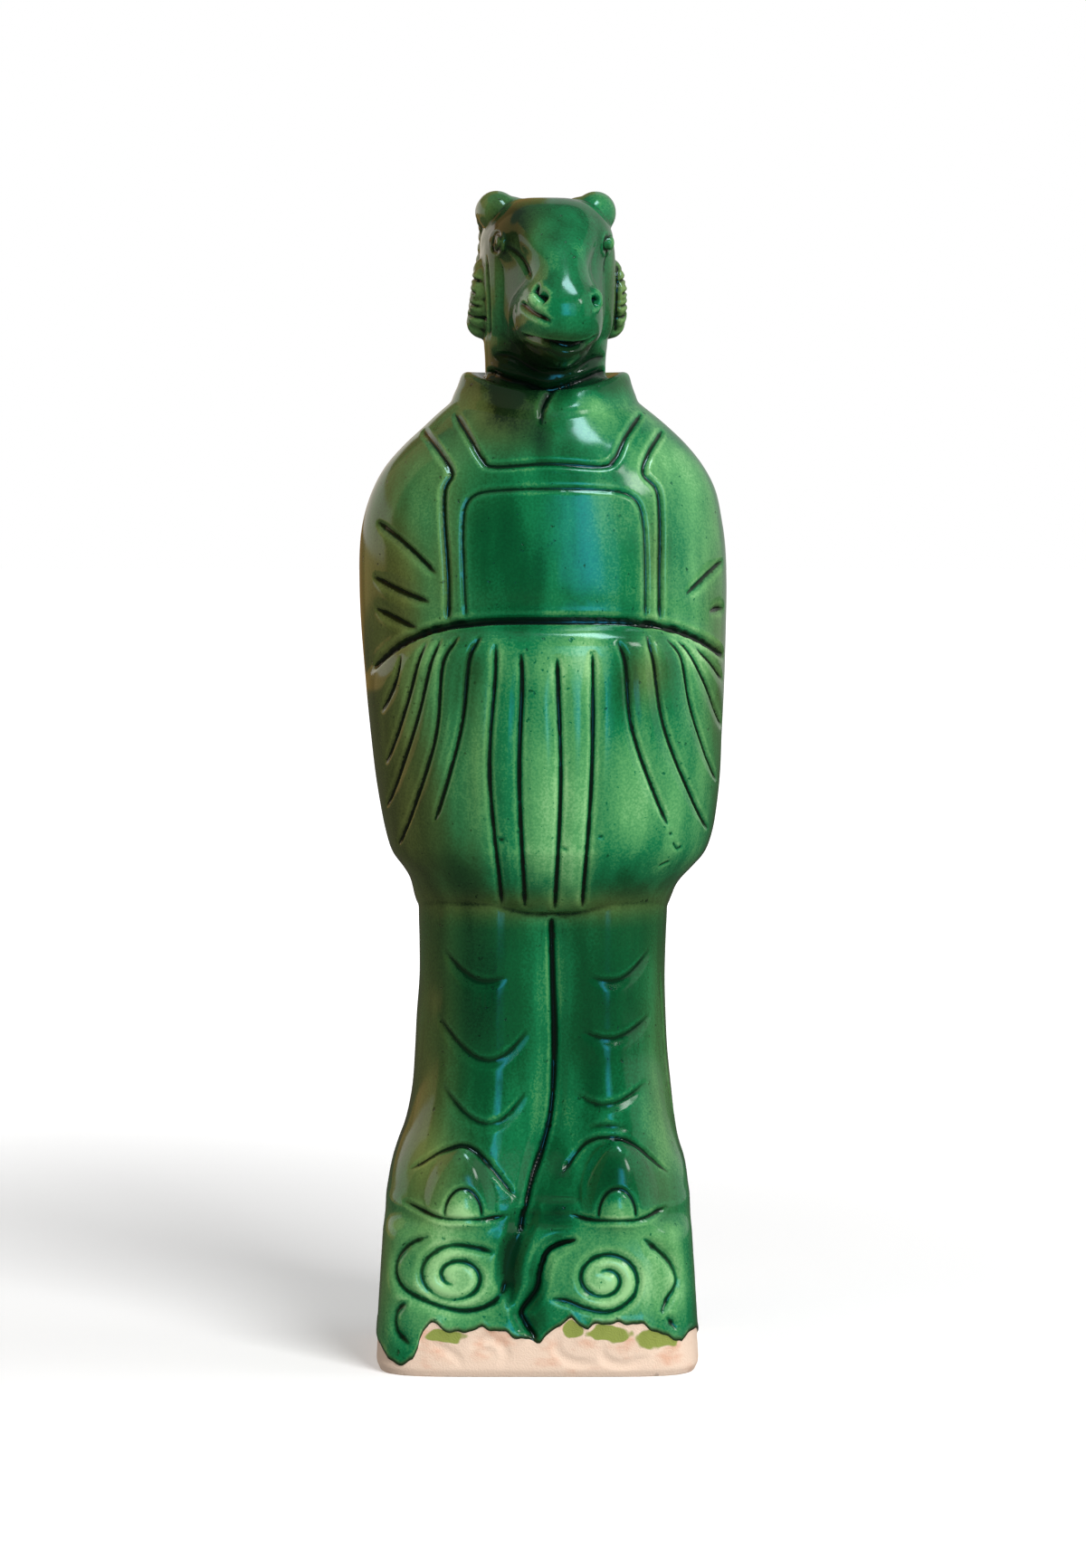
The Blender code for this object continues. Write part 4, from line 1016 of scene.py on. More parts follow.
    def strokes(self) -> list[Stroke]:
        """Lines of the mouth, nostrils and eyes, and the clefts and notches of the horns.

        Returns:
            Their strokes.
        """
        place = self.measure.figure
        lines = [
            Stroke(self.mouth, self.mouth_cut, place),
            Stroke(self.lip_fold, self.lip_cut, place),
            Stroke(self.smile_ridge, self.smile_cut, place),
            *strokes_along(self.tear_lines, [self.tear_cut], place),
            *strokes_along(self.nostrils, [self.nostril_cut], place),
            *strokes_along(self.nostril_rims, [self.nostril_rim_cut], place),
            *strokes_along(self.horn_clefts, [self.cleft_cut], place),
            *strokes_along(self.throat_folds, [self.throat_cut], place),
        ]
        for facing, y in self.notch_fronts:
            notches = [[(y + ahead, z + rise) for ahead, rise in self.notch] for z in self.horn_notches]
            lines += strokes_along(notches, [self.notch_cut], place, facing)
        turns = np.linspace(0.0, math.tau, 17)
        for facing, x, z, wide, high in self.eyes:
            loop = [(x + wide * math.cos(t) + self.eye_lean * high * math.sin(t), z + high * math.sin(t))
                    for t in turns]
            lines.append(Stroke(loop, self.eye_cut, place, facing))
            lid = [(x + (wide + self.lid_gap) * math.cos(t), z + (high + self.lid_gap) * math.sin(t)) for t in turns]
            lines.append(Stroke(lid, self.lid_cut, place, facing))
        return lines


@dataclass(frozen=True)
class GlazeEdge:
    """Where the glaze ends above the bare clay foot, in design millimetres."""

    front: Path = (
        (-34.6, 6.2), (-33.8, 4.6), (-32.8, 3.2), (-31.0, 2.5), (-28.8, 2.6), (-27.4, 3.6), (-26.4, 5.8),
        (-25.9, 8.2), (-25.0, 10.3), (-23.8, 11.2), (-22.2, 11.1), (-20.7, 9.8), (-18.1, 9.3), (-12.5, 10.4),
        (-7.5, 9.3), (-5.4, 8.2), (-0.4, 7.5), (1.7, 9.6), (4.2, 11.6), (6.1, 12.3), (7.8, 10.9), (9.5, 10.3),
        (11.7, 11.3), (18.7, 11.3), (21.3, 10.9), (25.4, 8.6), (28.4, 7.6), (29.3, 6.9), (30.8, 8.6), (33.0, 9.4),
    )
    front_start: float = 15.0  # how far in front of the middle the drawn edge begins to hold
    front_full: float = 24.0
    level: float = 8.6  # on the sides and the back, where it only waves
    swings: tuple[tuple[float, float, float], ...] = ((5.0, 1.5, 0.4), (11.0, 1.0, 1.9), (23.0, 0.6, 4.0))
    ripples: tuple[tuple[float, float, float], ...] = ((1.3, 0.28, 0.0), (2.4, 0.12, 1.0))
    step: float = 0.30 * MM  # how thick the glaze stands on the clay
    step_width: float = 0.25 * MM
    roll: float = 0.14 * MM  # how much thicker its edge is
    roll_at: float = 0.8 * MM
    roll_spread: float = 0.6 * MM

    def height(self, places: np.ndarray, measure: Measure) -> np.ndarray:
        """Height of the edge at each point round the base.

        Args:
            places: points in metres.
            measure: the sizes of the base.

        Returns:
            Heights in metres.
        """
        x = places[:, 0] / measure.base_width * measure.design_width
        y = places[:, 1] / measure.base_depth * measure.design_depth
        knots = np.array(self.front)
        drawn = np.interp(x, knots[:, 0], knots[:, 1])
        for count, swing, phase in self.ripples:
            drawn += swing * np.sin(count * x + phase)
        turn = np.arctan2(y, x)
        waved = np.full(len(x), self.level)
        for count, swing, phase in self.swings:
            waved += swing * np.sin(count * turn + phase)
        towards_front = smooth_step(-y, self.front_start, self.front_full)
        height = drawn * towards_front + waved * (1.0 - towards_front)
        return height * measure.base_height / measure.design_base


@dataclass
class Mould:
    """Turns the forms into one closed mesh: fuses them, carves the lines, and keeps within a triangle count."""

    grain: float = 0.39 * MM  # size of the voxels that fuse the forms
    smoothing: int = 8
    worn: int = 2  # smoothing passes after carving
    triangles: int = 192_000
    line_step: float = 0.3 * MM
    lip: float = 0.09  # height of the lips along a groove, as a share of its depth
    lip_at: float = 1.4  # where a lip is highest, in half widths of its groove
    lip_spread: float = 0.35
    lip_end: float = 0.2 * MM  # a groove this deep leaves no room for another one's lip
    carve_reach: float = 2.2  # half widths that a groove is looked for around it

    def fuse(self, forms: Sequence[bpy.types.Object]) -> bpy.types.Mesh:
        """One closed mesh around all the forms.

        Args:
            forms: closed objects, which are used up.

        Returns:
            The fused and smoothed mesh.
        """
        for obj in forms:
            bpy.context.scene.collection.objects.link(obj)
        graph = bpy.context.evaluated_depsgraph_get()
        joined = bmesh.new()
        for obj in forms:
            joined.from_mesh(obj.evaluated_get(graph).to_mesh())
            obj.evaluated_get(graph).to_mesh_clear()
        for obj in forms:
            bpy.data.objects.remove(obj)
        solid = as_object(joined)
        bpy.context.scene.collection.objects.link(solid)
        remesh = solid.modifiers.new("fuse", "REMESH")
        remesh.mode = "VOXEL"
        remesh.voxel_size = self.grain
        soften = solid.modifiers.new("soften", "SMOOTH")
        soften.factor = 0.5
        soften.iterations = self.smoothing
        return self.taken(solid)

    @staticmethod
    def taken(obj: bpy.types.Object) -> bpy.types.Mesh:
        """The object's evaluated mesh, after which the object is removed.

        Args:
            obj: an object in the scene.

        Returns:
            A new mesh.
        """
        mesh = bpy.data.meshes.new_from_object(obj.evaluated_get(bpy.context.evaluated_depsgraph_get()))
        bpy.data.objects.remove(obj)
        return mesh

    def lay(self, tree: BVHTree, stroke: Stroke) -> Groove:
        """Lays a flat stroke on the surface.

        Args:
            tree: the surface.
            stroke: the line to lay.

        Returns:
            The line on the surface, with evenly spaced points.
        """
        axis, side = stroke.facing.value
        drawn = through(stroke.drawn, 10)
        flat = np.zeros((len(drawn), 3))
        flat[:, 1 - axis] = drawn[:, 0]
        flat[:, 2] = drawn[:, 1]
        towards = Vector((0.0, 0.0, 0.0))
        towards[axis] = -side
        laid = []
        for point in stroke.place(flat):
            point[axis] = side
            hit = tree.ray_cast(Vector(point), towards)[0]
            if hit is not None:
                laid.append(hit)
        laid = np.array(laid)
        along = np.concatenate([[0.0], np.cumsum(np.linalg.norm(np.diff(laid, axis=0), axis=1))])
        evenly = np.linspace(0.0, along[-1], int(along[-1] / self.line_step) + 2)
        points = np.stack([np.interp(evenly, along, laid[:, k]) for k in range(3)], axis=1)
        ends = np.minimum(evenly, evenly[-1] - evenly)
        cut = stroke.cut
        tip = np.clip(ends / (cut.tips * MM), 0.0, 1.0) ** 0.7
        return Groove(points, cut.half_width * MM * (0.5 + 0.5 * tip), cut.depth * MM * tip, cut.fade, cut.broad)

    def carve(self, mesh: bpy.types.Mesh, grooves: Sequence[Groove]) -> None:
        """Presses the grooves into the mesh along its normals, with a low lip at each side.

        Args:
            mesh: the surface.
            grooves: what is carved.
        """
        places, normals = vectors(mesh, "co"), vectors(mesh, "normal")
        cut, raised, lips, valley = (np.zeros(len(places)) for _ in range(4))
        for groove in grooves:
            reach = self.carve_reach * groove.half_width.max() * max(1.0, groove.fade)
            low, high = groove.points.min(0) - reach, groove.points.max(0) + reach
            near = np.flatnonzero(np.all((places > low) & (places < high), axis=1))
            away = np.linalg.norm(places[near, None, :] - groove.points[None, :, :], axis=2)
            at = away.argmin(axis=1)
            lower = places[near, 2] < groove.points[at, 2]
            width = groove.half_width[at] * np.where(lower, groove.fade, 1.0)
            share = away[np.arange(len(near)), at] / width
            profile = groove.depth[at] * np.clip(1.0 - share**2, 0.0, 1.0) ** 2
            if groove.broad:
                valley[near] = np.maximum(valley[near], profile)
                continue
            cut[near] = np.maximum(cut[near], profile)
            raised[near] = np.minimum(raised[near], profile)
            beside = np.exp(-(((share - self.lip_at) / self.lip_spread) ** 2))
            lip = self.lip * np.maximum(groove.depth[at], 0.0) * beside
            lips[near] = np.maximum(lips[near], np.where(lower & (groove.fade > 1.0), 0.0, lip))
        lips *= np.clip(1.0 - cut / self.lip_end, 0.0, 1.0)
        places += normals * (lips - raised - cut - valley)[:, None]
        places = relaxed(places, mesh_edges(mesh), self.worn)
        mesh.vertices.foreach_set("co", places.ravel())
        mesh.update()

    def reduce(self, mesh: bpy.types.Mesh) -> bpy.types.Mesh:
        """The mesh within the triangle count, with most of them where it bends.

        Args:
            mesh: the full mesh.

        Returns:
            A new mesh.
        """
        obj = bpy.data.objects.new("reduced", mesh)
        bpy.context.scene.collection.objects.link(obj)
        decimate = obj.modifiers.new("reduce", "DECIMATE")
        decimate.ratio = self.triangles / sum(len(polygon.vertices) - 2 for polygon in mesh.polygons)
        return self.taken(obj)

    @staticmethod
    def cut_flat(mesh: bpy.types.Mesh) -> None:
        """Cuts the mesh off at the ground and closes the underside.

        Args:
            mesh: the mesh, which is changed.
        """
        form = bmesh.new()
        form.from_mesh(mesh)
        everything = form.verts[:] + form.edges[:] + form.faces[:]
        bmesh.ops.bisect_plane(form, geom=everything, dist=ON_GROUND, plane_co=(0, 0, 0), plane_no=(0, 0, 1),
                               clear_inner=True)
        bmesh.ops.remove_doubles(form, verts=[v for v in form.verts if abs(v.co.z) < ON_GROUND], dist=WELD)
        bmesh.ops.contextual_create(form, geom=[edge for edge in form.edges if edge.is_boundary])
        bmesh.ops.triangulate(form, faces=[face for face in form.faces if len(face.verts) > 4])
        bmesh.ops.recalc_face_normals(form, faces=form.faces)
        form.to_mesh(mesh)
        form.free()


def mesh_edges(mesh: bpy.types.Mesh) -> np.ndarray:
    """The mesh's edges.

    Args:
        mesh: the mesh.

    Returns:
        Rows of two vertices.
    """
    edges = np.empty(len(mesh.edges) * 2, int)
    mesh.edges.foreach_get("vertices", edges)
    return edges.reshape(-1, 2)


def relaxed(places: np.ndarray, edges: np.ndarray, passes: int) -> np.ndarray:
    """The surface after it is smoothed along its edges.

    Args:
        places: where the vertices are.
        edges: pairs of vertices.
        passes: how often each vertex moves half way to the middle of its neighbours.

    Returns:
        Where the vertices end up.
    """
    count = len(places)
    one, other = edges[:, 0], edges[:, 1]
    neighbours = np.bincount(one, minlength=count) + np.bincount(other, minlength=count)
    for _ in range(passes):
        total = np.stack(
            [np.bincount(one, places[other, k], count) + np.bincount(other, places[one, k], count)
             for k in range(3)], axis=1)
        places = 0.5 * places + 0.5 * total / neighbours[:, None]
    return places


def vectors(mesh: bpy.types.Mesh, name: str) -> np.ndarray:
    """A vector of each vertex, as rows.

    Args:
        mesh: the mesh.
        name: "co" or "normal".

    Returns:
        One row of three numbers for each vertex.
    """
    values = np.empty(len(mesh.vertices) * 3)
    mesh.vertices.foreach_get(name, values)
    return values.reshape(-1, 3)


@dataclass(frozen=True)
class Cast:
    """A soft-edged patch of another tint in the glaze: its middle on the front, half sizes, and strength."""

    x: float
    z: float
    half_width: float
    half_height: float
    strength: float

    def weight(self, x: np.ndarray, z: np.ndarray) -> np.ndarray:
        """How strong the tint is at each point.

        Args:
            x: across, in millimetres.
            z: height, in millimetres.

        Returns:
            A weight for each point.
        """
        away = ((x - self.x) / self.half_width) ** 2 + ((z - self.z) / self.half_height) ** 2
        return self.strength * np.exp(-away)


@dataclass(frozen=True)
class GlazeFlow:
    """Where the molten glaze ran thin, thick, olive or deep, as vertex attributes of the figure. Its tone also
    carries painted light and shade: lighter on the right and on tops that face the light, darker on the left, with
    painted shadows under the hanging cloth, the chin and the right shoe.
    """

    fine_passes: int = 8
    wide_passes: int = 60
    base_tone: float = 0.50
    # Lighter (+) and darker (-) patches on the front: partly the glaze's own tone, partly painted light and shade,
    # lighter where the light falls and darker where it does not.
    tones: tuple[Cast, ...] = (
        Cast(2.0, 172.0, 17.0, 16.0, -0.14),  # bib
        Cast(11.0, 172.0, 5.0, 16.0, 0.24),
        Cast(-12.0, 180.0, 5.0, 12.0, -0.12),
        Cast(1.0, 124.0, 16.0, 24.0, 0.17),  # hanging cloth
        Cast(10.0, 128.0, 8.0, 24.0, 0.18),
        Cast(19.0, 132.0, 6.0, 20.0, 0.10),
        # painted light: paler along the cloth's rolled top, which faces up to the light
        Cast(8.0, 151.0, 18.0, 5.0, 0.20),
        Cast(24.0, 122.0, 10.0, 26.0, 0.06),
        Cast(17.7, 148.0, 3.0, 11.0, -0.45),
        Cast(27.0, 148.0, 3.0, 9.0, -0.16),
        Cast(-14.5, 150.0, 2.2, 6.0, -0.20),
        Cast(-19.0, 113.0, 7.0, 18.0, -0.10),
        Cast(-30.0, 120.0, 7.0, 22.0, -0.18),
        # painted shade: darker along the cloth's lower edge, where it turns under
        Cast(2.0, 101.0, 26.0, 5.0, -0.08),
        # Collar, shoulders and sleeves: painted light and shade, lighter on the right where the light falls, darker
        # on the left
        Cast(11.0, 203.0, 8.0, 7.0, 0.34),  # collar
        Cast(-8.0, 204.0, 7.0, 7.0, -0.36),
        Cast(-0.4, 197.0, 1.8, 5.0, -0.24),
        Cast(27.0, 191.0, 10.0, 10.0, 0.16),  # shoulders
        Cast(-26.0, 190.0, 9.0, 12.0, -0.02),
        Cast(33.0, 165.0, 7.0, 18.0, 0.10),
        Cast(-33.0, 162.0, 7.0, 10.0, -0.10),
        # Legs: painted shade, darker below the hanging cloth where less light falls
        Cast(-13.5, 76.0, 8.5, 26.0, -0.38),  # legs
        Cast(14.0, 76.0, 7.5, 24.0, -0.32),
        # painted shadow of the hanging cloth across the top of the legs
        Cast(1.0, 93.0, 24.0, 5.0, -0.12),
        Cast(-24.0, 45.0, 5.0, 12.0, 0.08),
        Cast(-22.0, 21.0, 12.0, 11.0, 0.30),  # clouds
        Cast(20.0, 20.0, 14.0, 10.0, 0.45),
        # painted highlight: paler at the middles of the scrolls
        Cast(13.0, 20.6, 5.0, 5.0, 0.12),
        Cast(-18.0, 21.0, 5.0, 5.0, 0.16),
        Cast(-24.0, 31.0, 12.0, 4.0, 0.18),
        Cast(20.0, 31.0, 12.0, 3.5, 0.14),
        Cast(-16.8, 41.0, 9.0, 5.0, -0.10),  # shoes
        Cast(15.6, 41.0, 10.0, 6.0, -0.12),
        Cast(-16.8, 35.6, 3.2, 3.6, 0.36),
        Cast(15.6, 35.8, 3.2, 3.6, 0.40),
        Cast(-4.0, 39.0, 4.0, 9.0, -0.12),  # between the shoes, and down the front of the base
        # painted shadow that the right shoe casts beside the line between the shoes
        Cast(3.4, 41.0, 2.8, 9.0, -0.40),
        Cast(-6.6, 25.0, 3.0, 8.0, -0.55),
        Cast(-1.6, 15.0, 2.6, 8.0, -0.50),
        Cast(2.0, 33.0, 4.0, 4.0, -0.25),
        # Throat: pooled glaze, and painted shade under the chin
        Cast(1.0, 211.5, 16.0, 4.6, -1.10),  # throat
        Cast(-8.0, 243.0, 6.0, 8.0, -0.50),  # brow
        Cast(3.0, 243.0, 4.0, 6.0, -0.06),
        Cast(-12.0, 247.0, 3.5, 4.0, 0.10),
        Cast(-6.0, 221.0, 3.0, 6.0, -0.16),
        Cast(2.0, 213.5, 11.0, 3.0, -0.55),
        Cast(4.0, 225.0, 8.0, 6.0, 0.05),
        Cast(-15.5, 226.0, 3.0, 12.0, -0.46),  # horns
        Cast(17.5, 226.0, 3.0, 12.0, -0.48),
    )
    olive: tuple[Cast, ...] = (
        Cast(-33.0, 166.0, 8.0, 16.0, 0.9),
        Cast(-37.0, 140.0, 8.0, 34.0, 0.7),
        Cast(-14.0, 232.0, 4.0, 20.0, 0.7),
        Cast(17.0, 228.0, 2.5, 14.0, 0.8),
        Cast(-10.0, 204.0, 8.0, 7.0, 0.85),
        Cast(-24.0, 192.0, 9.0, 9.0, 0.35),
        Cast(-7.0, 240.0, 6.0, 9.0, 0.5),
        Cast(-29.0, 116.0, 9.0, 30.0, 0.8),
        Cast(0.0, 99.0, 30.0, 3.0, 0.7),
        Cast(-26.0, 62.0, 6.0, 28.0, 0.9),
        Cast(-24.0, 44.0, 8.0, 8.0, 0.4),
        Cast(26.0, 62.0, 4.0, 26.0, 0.5),
        Cast(37.0, 150.0, 3.5, 30.0, 0.5),
        Cast(-34.0, 24.0, 2.5, 14.0, 0.7),
        Cast(-14.0, 127.0, 3.0, 22.0, 0.35),
        Cast(22.0, 148.0, 4.0, 6.0, 0.5),
        Cast(-20.0, 172.0, 3.0, 16.0, 0.4),
        Cast(23.5, 172.0, 2.5, 14.0, 0.4),
        Cast(-3.0, 216.0, 6.0, 3.0, 0.5),
        Cast(2.0, 214.0, 8.0, 3.5, 0.5),
    )
    front_depth: float = 10.0 * MM  # how far in front of the middle the tones are full

    def survey(self, mesh: bpy.types.Mesh) -> "Survey":
        """Finds the recesses and hollows of the carved figure, while its mesh is still even.

        Args:
            mesh: the full mesh.

        Returns:
            How deep each vertex lies under its smoothed surroundings, in millimetres.
        """
        places, normals = vectors(mesh, "co"), vectors(mesh, "normal")
        edges = mesh_edges(mesh)
        fine = relaxed(places, edges, self.fine_passes)
        wide = relaxed(fine, edges, self.wide_passes)
        recess = np.einsum("ij,ij->i", fine - places, normals) / MM
        hollow = np.einsum("ij,ij->i", wide - places, normals) / MM
        return Survey(places, recess, hollow)

    def write(self, mesh: bpy.types.Mesh, survey: "Survey", edge: GlazeEdge, measure: Measure) -> None:
        """Writes the attributes that the finish reads.

        Args:
            mesh: the reduced figure.
            survey: the recesses and hollows of the full one.
            edge: where the glaze ends.
            measure: the sizes of the base.
        """
        places = vectors(mesh, "co")
        nearest = survey.nearest(places)
        x, z = places[:, 0] / MM, places[:, 2] / MM
        above = (places[:, 2] - edge.height(places, measure)) / MM
        front = smooth_step(-places[:, 1], 0.0, self.front_depth)
        written = {
            "recess": survey.recess[nearest],
            "hollow": survey.hollow[nearest],
            "above": above,
            "olive": sum(cast.weight(x, z) for cast in self.olive),
            # the glaze's tone, with the painted light and shade of the patches
            "tone_and_painted_light": self.base_tone + sum(cast.weight(x, z) * front for cast in self.tones),
        }
        for name, values in written.items():
            attribute = mesh.attributes.new(name, "FLOAT", "POINT")
            attribute.data.foreach_set("value", values.astype(np.float32))


@dataclass(frozen=True)
class Survey:
    """Depths under the smoothed surface, at many places of the figure."""

    places: np.ndarray
    recess: np.ndarray
    hollow: np.ndarray

    def nearest(self, places: np.ndarray) -> np.ndarray:
        """The surveyed place that is nearest to each point.

        Args:
            places: the points.

        Returns:
            Numbers of surveyed places, one for each point.
        """
        tree = KDTree(len(self.places))
        for k, place in enumerate(self.places):
            tree.insert(place, k)
        tree.balance()
        return np.array([tree.find(place)[1] for place in places])


def add_node(tree: bpy.types.NodeTree, kind: str, inputs: dict | None = None, **settings: object) -> bpy.types.Node:
    """Adds a node with its settings and links.

    Args:
        tree: the material's node tree.
        kind: the node's type, without the leading "ShaderNode".
        inputs: for each input, by name or number, a value, or an output socket that is linked to it.
        settings: properties of the node.

    Returns:
        The new node.
    """
    made = tree.nodes.new("ShaderNode" + kind)
    for name, value in settings.items():
        setattr(made, name, value)
    for name, value in (inputs or {}).items():
        socket = made.inputs[name]
        if isinstance(value, bpy.types.NodeSocket):
            tree.links.new(value, socket)
        else:
            socket.default_value = value
    return made


@dataclass(frozen=True)
class LeadGlazedPottery:
    """Copper-green lead glaze, fired over pink-white earthenware from a press mould.

    The glaze is clear green glass: nearly black where it pools in the lines, yellow-green where it ran thin on
    edges, olive where the fire was smoky, and wet-looking all over. The clay under it is matt and chalky.
    """

    depths: tuple[tuple[float, str], ...] = (
        (0.0, "#032C17"), (0.35, "#07502B"), (0.55, "#117043"), (0.76, "#559B5E"), (1.0, "#98CE8E"),
    )
    pooled: str = "#020C08"
    edge: str = "#1C1A0A"
    olive_deep: str = "#18240C"
    olive_thin: str = "#8C9C52"
    clay: str = "#E9CFB9"
    clay_stain: str = "#D9A283"
    film: str = "#8E9A48"
    films: tuple[tuple[float, float, float, float], ...] = (  # middle and half sizes on the front, mm
        (-20.4, 8.6, 4.6, 1.5), (6.4, 10.2, 2.0, 1.7), (14.5, 9.3, 4.6, 1.9), (24.2, 8.2, 4.6, 2.6),
        (31.4, 7.4, 1.6, 1.7),
    )
    film_edge: tuple[float, float] = (1.08, 0.86)  # half sizes from its middle, where a film ends and is full
    ior: float = 1.62  # lead glass bends light more than window glass
    patterns: tuple[tuple[str, float, float, float], ...] = (  # name, mm across a lump, its stretch along Z, detail
        ("runs", 9.0, 6.0, 3.0),  # the glaze ran down thick and thin
        ("clouds", 26.0, 1.6, 3.0),  # uneven fire
        ("flecks", 1.3, 1.0, 2.0),  # specks and pits
        ("bubbles", 0.5, 1.0, 3.0),  # coarser than the real ones, so that they show
        ("waves", 5.0, 2.0, 1.0),  # the glaze's surface isn't quite even
        ("stains", 6.0, 0.6, 3.0),  # iron in the clay
        ("ragged", 3.2, 1.0, 1.0),  # bends the outlines of the films
        ("grit", 0.35, 1.0, 4.0),  # grains of clay, coarser than the real ones
    )
    shares: tuple[tuple[str, str, float, float, float, float], ...] = (  # name, of what, from, to, value at each
        ("smoke", "clouds", 0.30, 0.60, 0.55, 1.0),  # how much of the olive shows
        ("pooled", "recess", 0.07, 0.22, 0.0, 0.95),  # dark glass that fills the lines
        ("rim", "above", 1.5, 0.2, 0.0, 0.9),  # the thick edge of the glaze
        ("stained", "stains", 0.50, 0.74, 0.0, 0.7),
        ("warp", "ragged", 0.30, 0.70, -0.24, 0.24),
        ("ahead", "depth", -0.0240, -0.0258, 0.0, 1.0),  # the films are on the front alone
        ("bare", "above", 0.05, -0.12, 0.0, 1.0),  # clay without glaze
        ("pits", "flecks", 0.28, 0.20, 0.0, 1.0),
        ("roughness", "bare", 0.0, 1.0, 0.14, 0.85),  # wet-looking glaze, chalky clay
    )
    tones: tuple[tuple[str, float, float, float, float], ...] = (  # of what, from, to, what it adds to the tone
        ("runs", 0.30, 0.70, -0.11, 0.11),
        ("clouds", 0.32, 0.68, 0.10, -0.10),
        ("bubbles", 0.30, 0.70, -0.05, 0.05),
        ("flecks", 0.33, 0.24, 0.0, -0.25),
        ("hollow", 0.05, 0.9, 0.0, -0.30),  # thick, so dark, in the hollows
        ("hollow", -0.1, -0.8, 0.0, 0.12),  # thin, so light, on what swells
        ("recess", -0.01, -0.11, 0.0, 0.15),  # thinner still on the lips of the lines
        ("recess", 0.01, 0.14, 0.0, -0.50),
    )
    bumps: tuple[tuple[str, float, float], ...] = (  # of what, height in mm, strength
        ("waves", 0.10, 0.5), ("pits", -0.12, 0.6), ("grains", 0.25, 0.6),
    )

    def material(self) -> bpy.types.Material:
        """Builds the material.

        Returns:
            A material that reads the attributes of GlazeFlow.
        """
        made = bpy.data.materials.new("green_lead_glaze")
        made.use_nodes = True
        tree = made.node_tree
        tree.nodes.clear()

        where = add_node(tree, "TexCoord").outputs["Object"]
        values = {"depth": add_node(tree, "SeparateXYZ", {0: where}).outputs["Y"]}
        for name in ("recess", "hollow", "above", "olive", "tone_and_painted_light"):
            values[name] = add_node(tree, "Attribute", attribute_name=name).outputs["Fac"]
        for name, size, stretch, detail in self.patterns:
            place = add_node(tree, "Mapping", {0: where, 3: (1.0, 1.0, 1.0 / stretch)}).outputs[0]
            inputs = {"Vector": place, "Scale": 1.0 / (size * MM), "Detail": detail}
            values[name] = add_node(tree, "TexNoise", inputs).outputs[0]
        for name, source, *span in self.shares:
            inputs = dict(enumerate((values[source], *span)))
            values[name] = add_node(tree, "MapRange", inputs, interpolation_type="SMOOTHSTEP").outputs[0]
        for name, source, factor in (("browned", "olive", "smoke"), ("grains", "grit", "bare")):
            inputs = {0: values[source], 1: values[factor]}
            values[name] = add_node(tree, "Math", inputs, operation="MULTIPLY", use_clamp=True).outputs[0]

        glaze = self.glaze_colour(tree, values)
        clay = self.clay_colour(tree, values, where)
        colour = add_node(tree, "Mix", {0: values["bare"], 6: glaze, 7: clay}, data_type="RGBA").outputs[2]
        surface = {}
        for name, height, strength in self.bumps:
            inputs = {"Height": values[name], "Distance": height * MM, "Strength": strength, **surface}
            surface = {"Normal": add_node(tree, "Bump", inputs).outputs[0]}
        shader = add_node(tree, "BsdfPrincipled", {
            "Base Color": colour, "Roughness": values["roughness"], "IOR": self.ior, "Metallic": 0.0, **surface,
        })
        add_node(tree, "OutputMaterial", {"Surface": shader.outputs[0]})
        return made

    def glaze_colour(self, tree: bpy.types.NodeTree, values: dict[str, bpy.types.NodeSocket]) -> bpy.types.NodeSocket:
        """The glaze: darker or lighter with its thickness and with the painted light and shade of its tone, olive in
        places, dark in the lines and at its edge.

        Args:
            tree: the material's node tree.
            values: sockets of the attributes, patterns and shares, by name.

        Returns:
            The socket with the glaze's colour.
        """
        tone_and_painted_light = values["tone_and_painted_light"]
        for source, *span in self.tones:
            inputs = dict(enumerate((values[source], *span)))
            added = add_node(tree, "MapRange", inputs, interpolation_type="SMOOTHSTEP").outputs[0]
            tone_and_painted_light = add_node(tree, "Math", {0: tone_and_painted_light, 1: added}, operation="ADD").outputs[0]
        ramp = add_node(tree, "ValToRGB", {0: tone_and_painted_light})
        for at, _ in self.depths[1:-1]:
            ramp.color_ramp.elements.new(at)
        for stop, (at, shade) in zip(ramp.color_ramp.elements, self.depths):
            stop.position = at
            stop.color = linear(shade)
        thin = add_node(tree, "Math", {0: tone_and_painted_light, 1: 0.0}, operation="ADD", use_clamp=True).outputs[0]
        olive = {0: thin, 6: linear(self.olive_deep), 7: linear(self.olive_thin)}
        colour = ramp.outputs[0]
        for share, shade in (
            ("browned", add_node(tree, "Mix", olive, data_type="RGBA").outputs[2]),
            ("pooled", linear(self.pooled)),
            ("rim", linear(self.edge)),
        ):
            layers = {0: values[share], 6: colour, 7: shade}
            colour = add_node(tree, "Mix", layers, data_type="RGBA").outputs[2]
        return colour

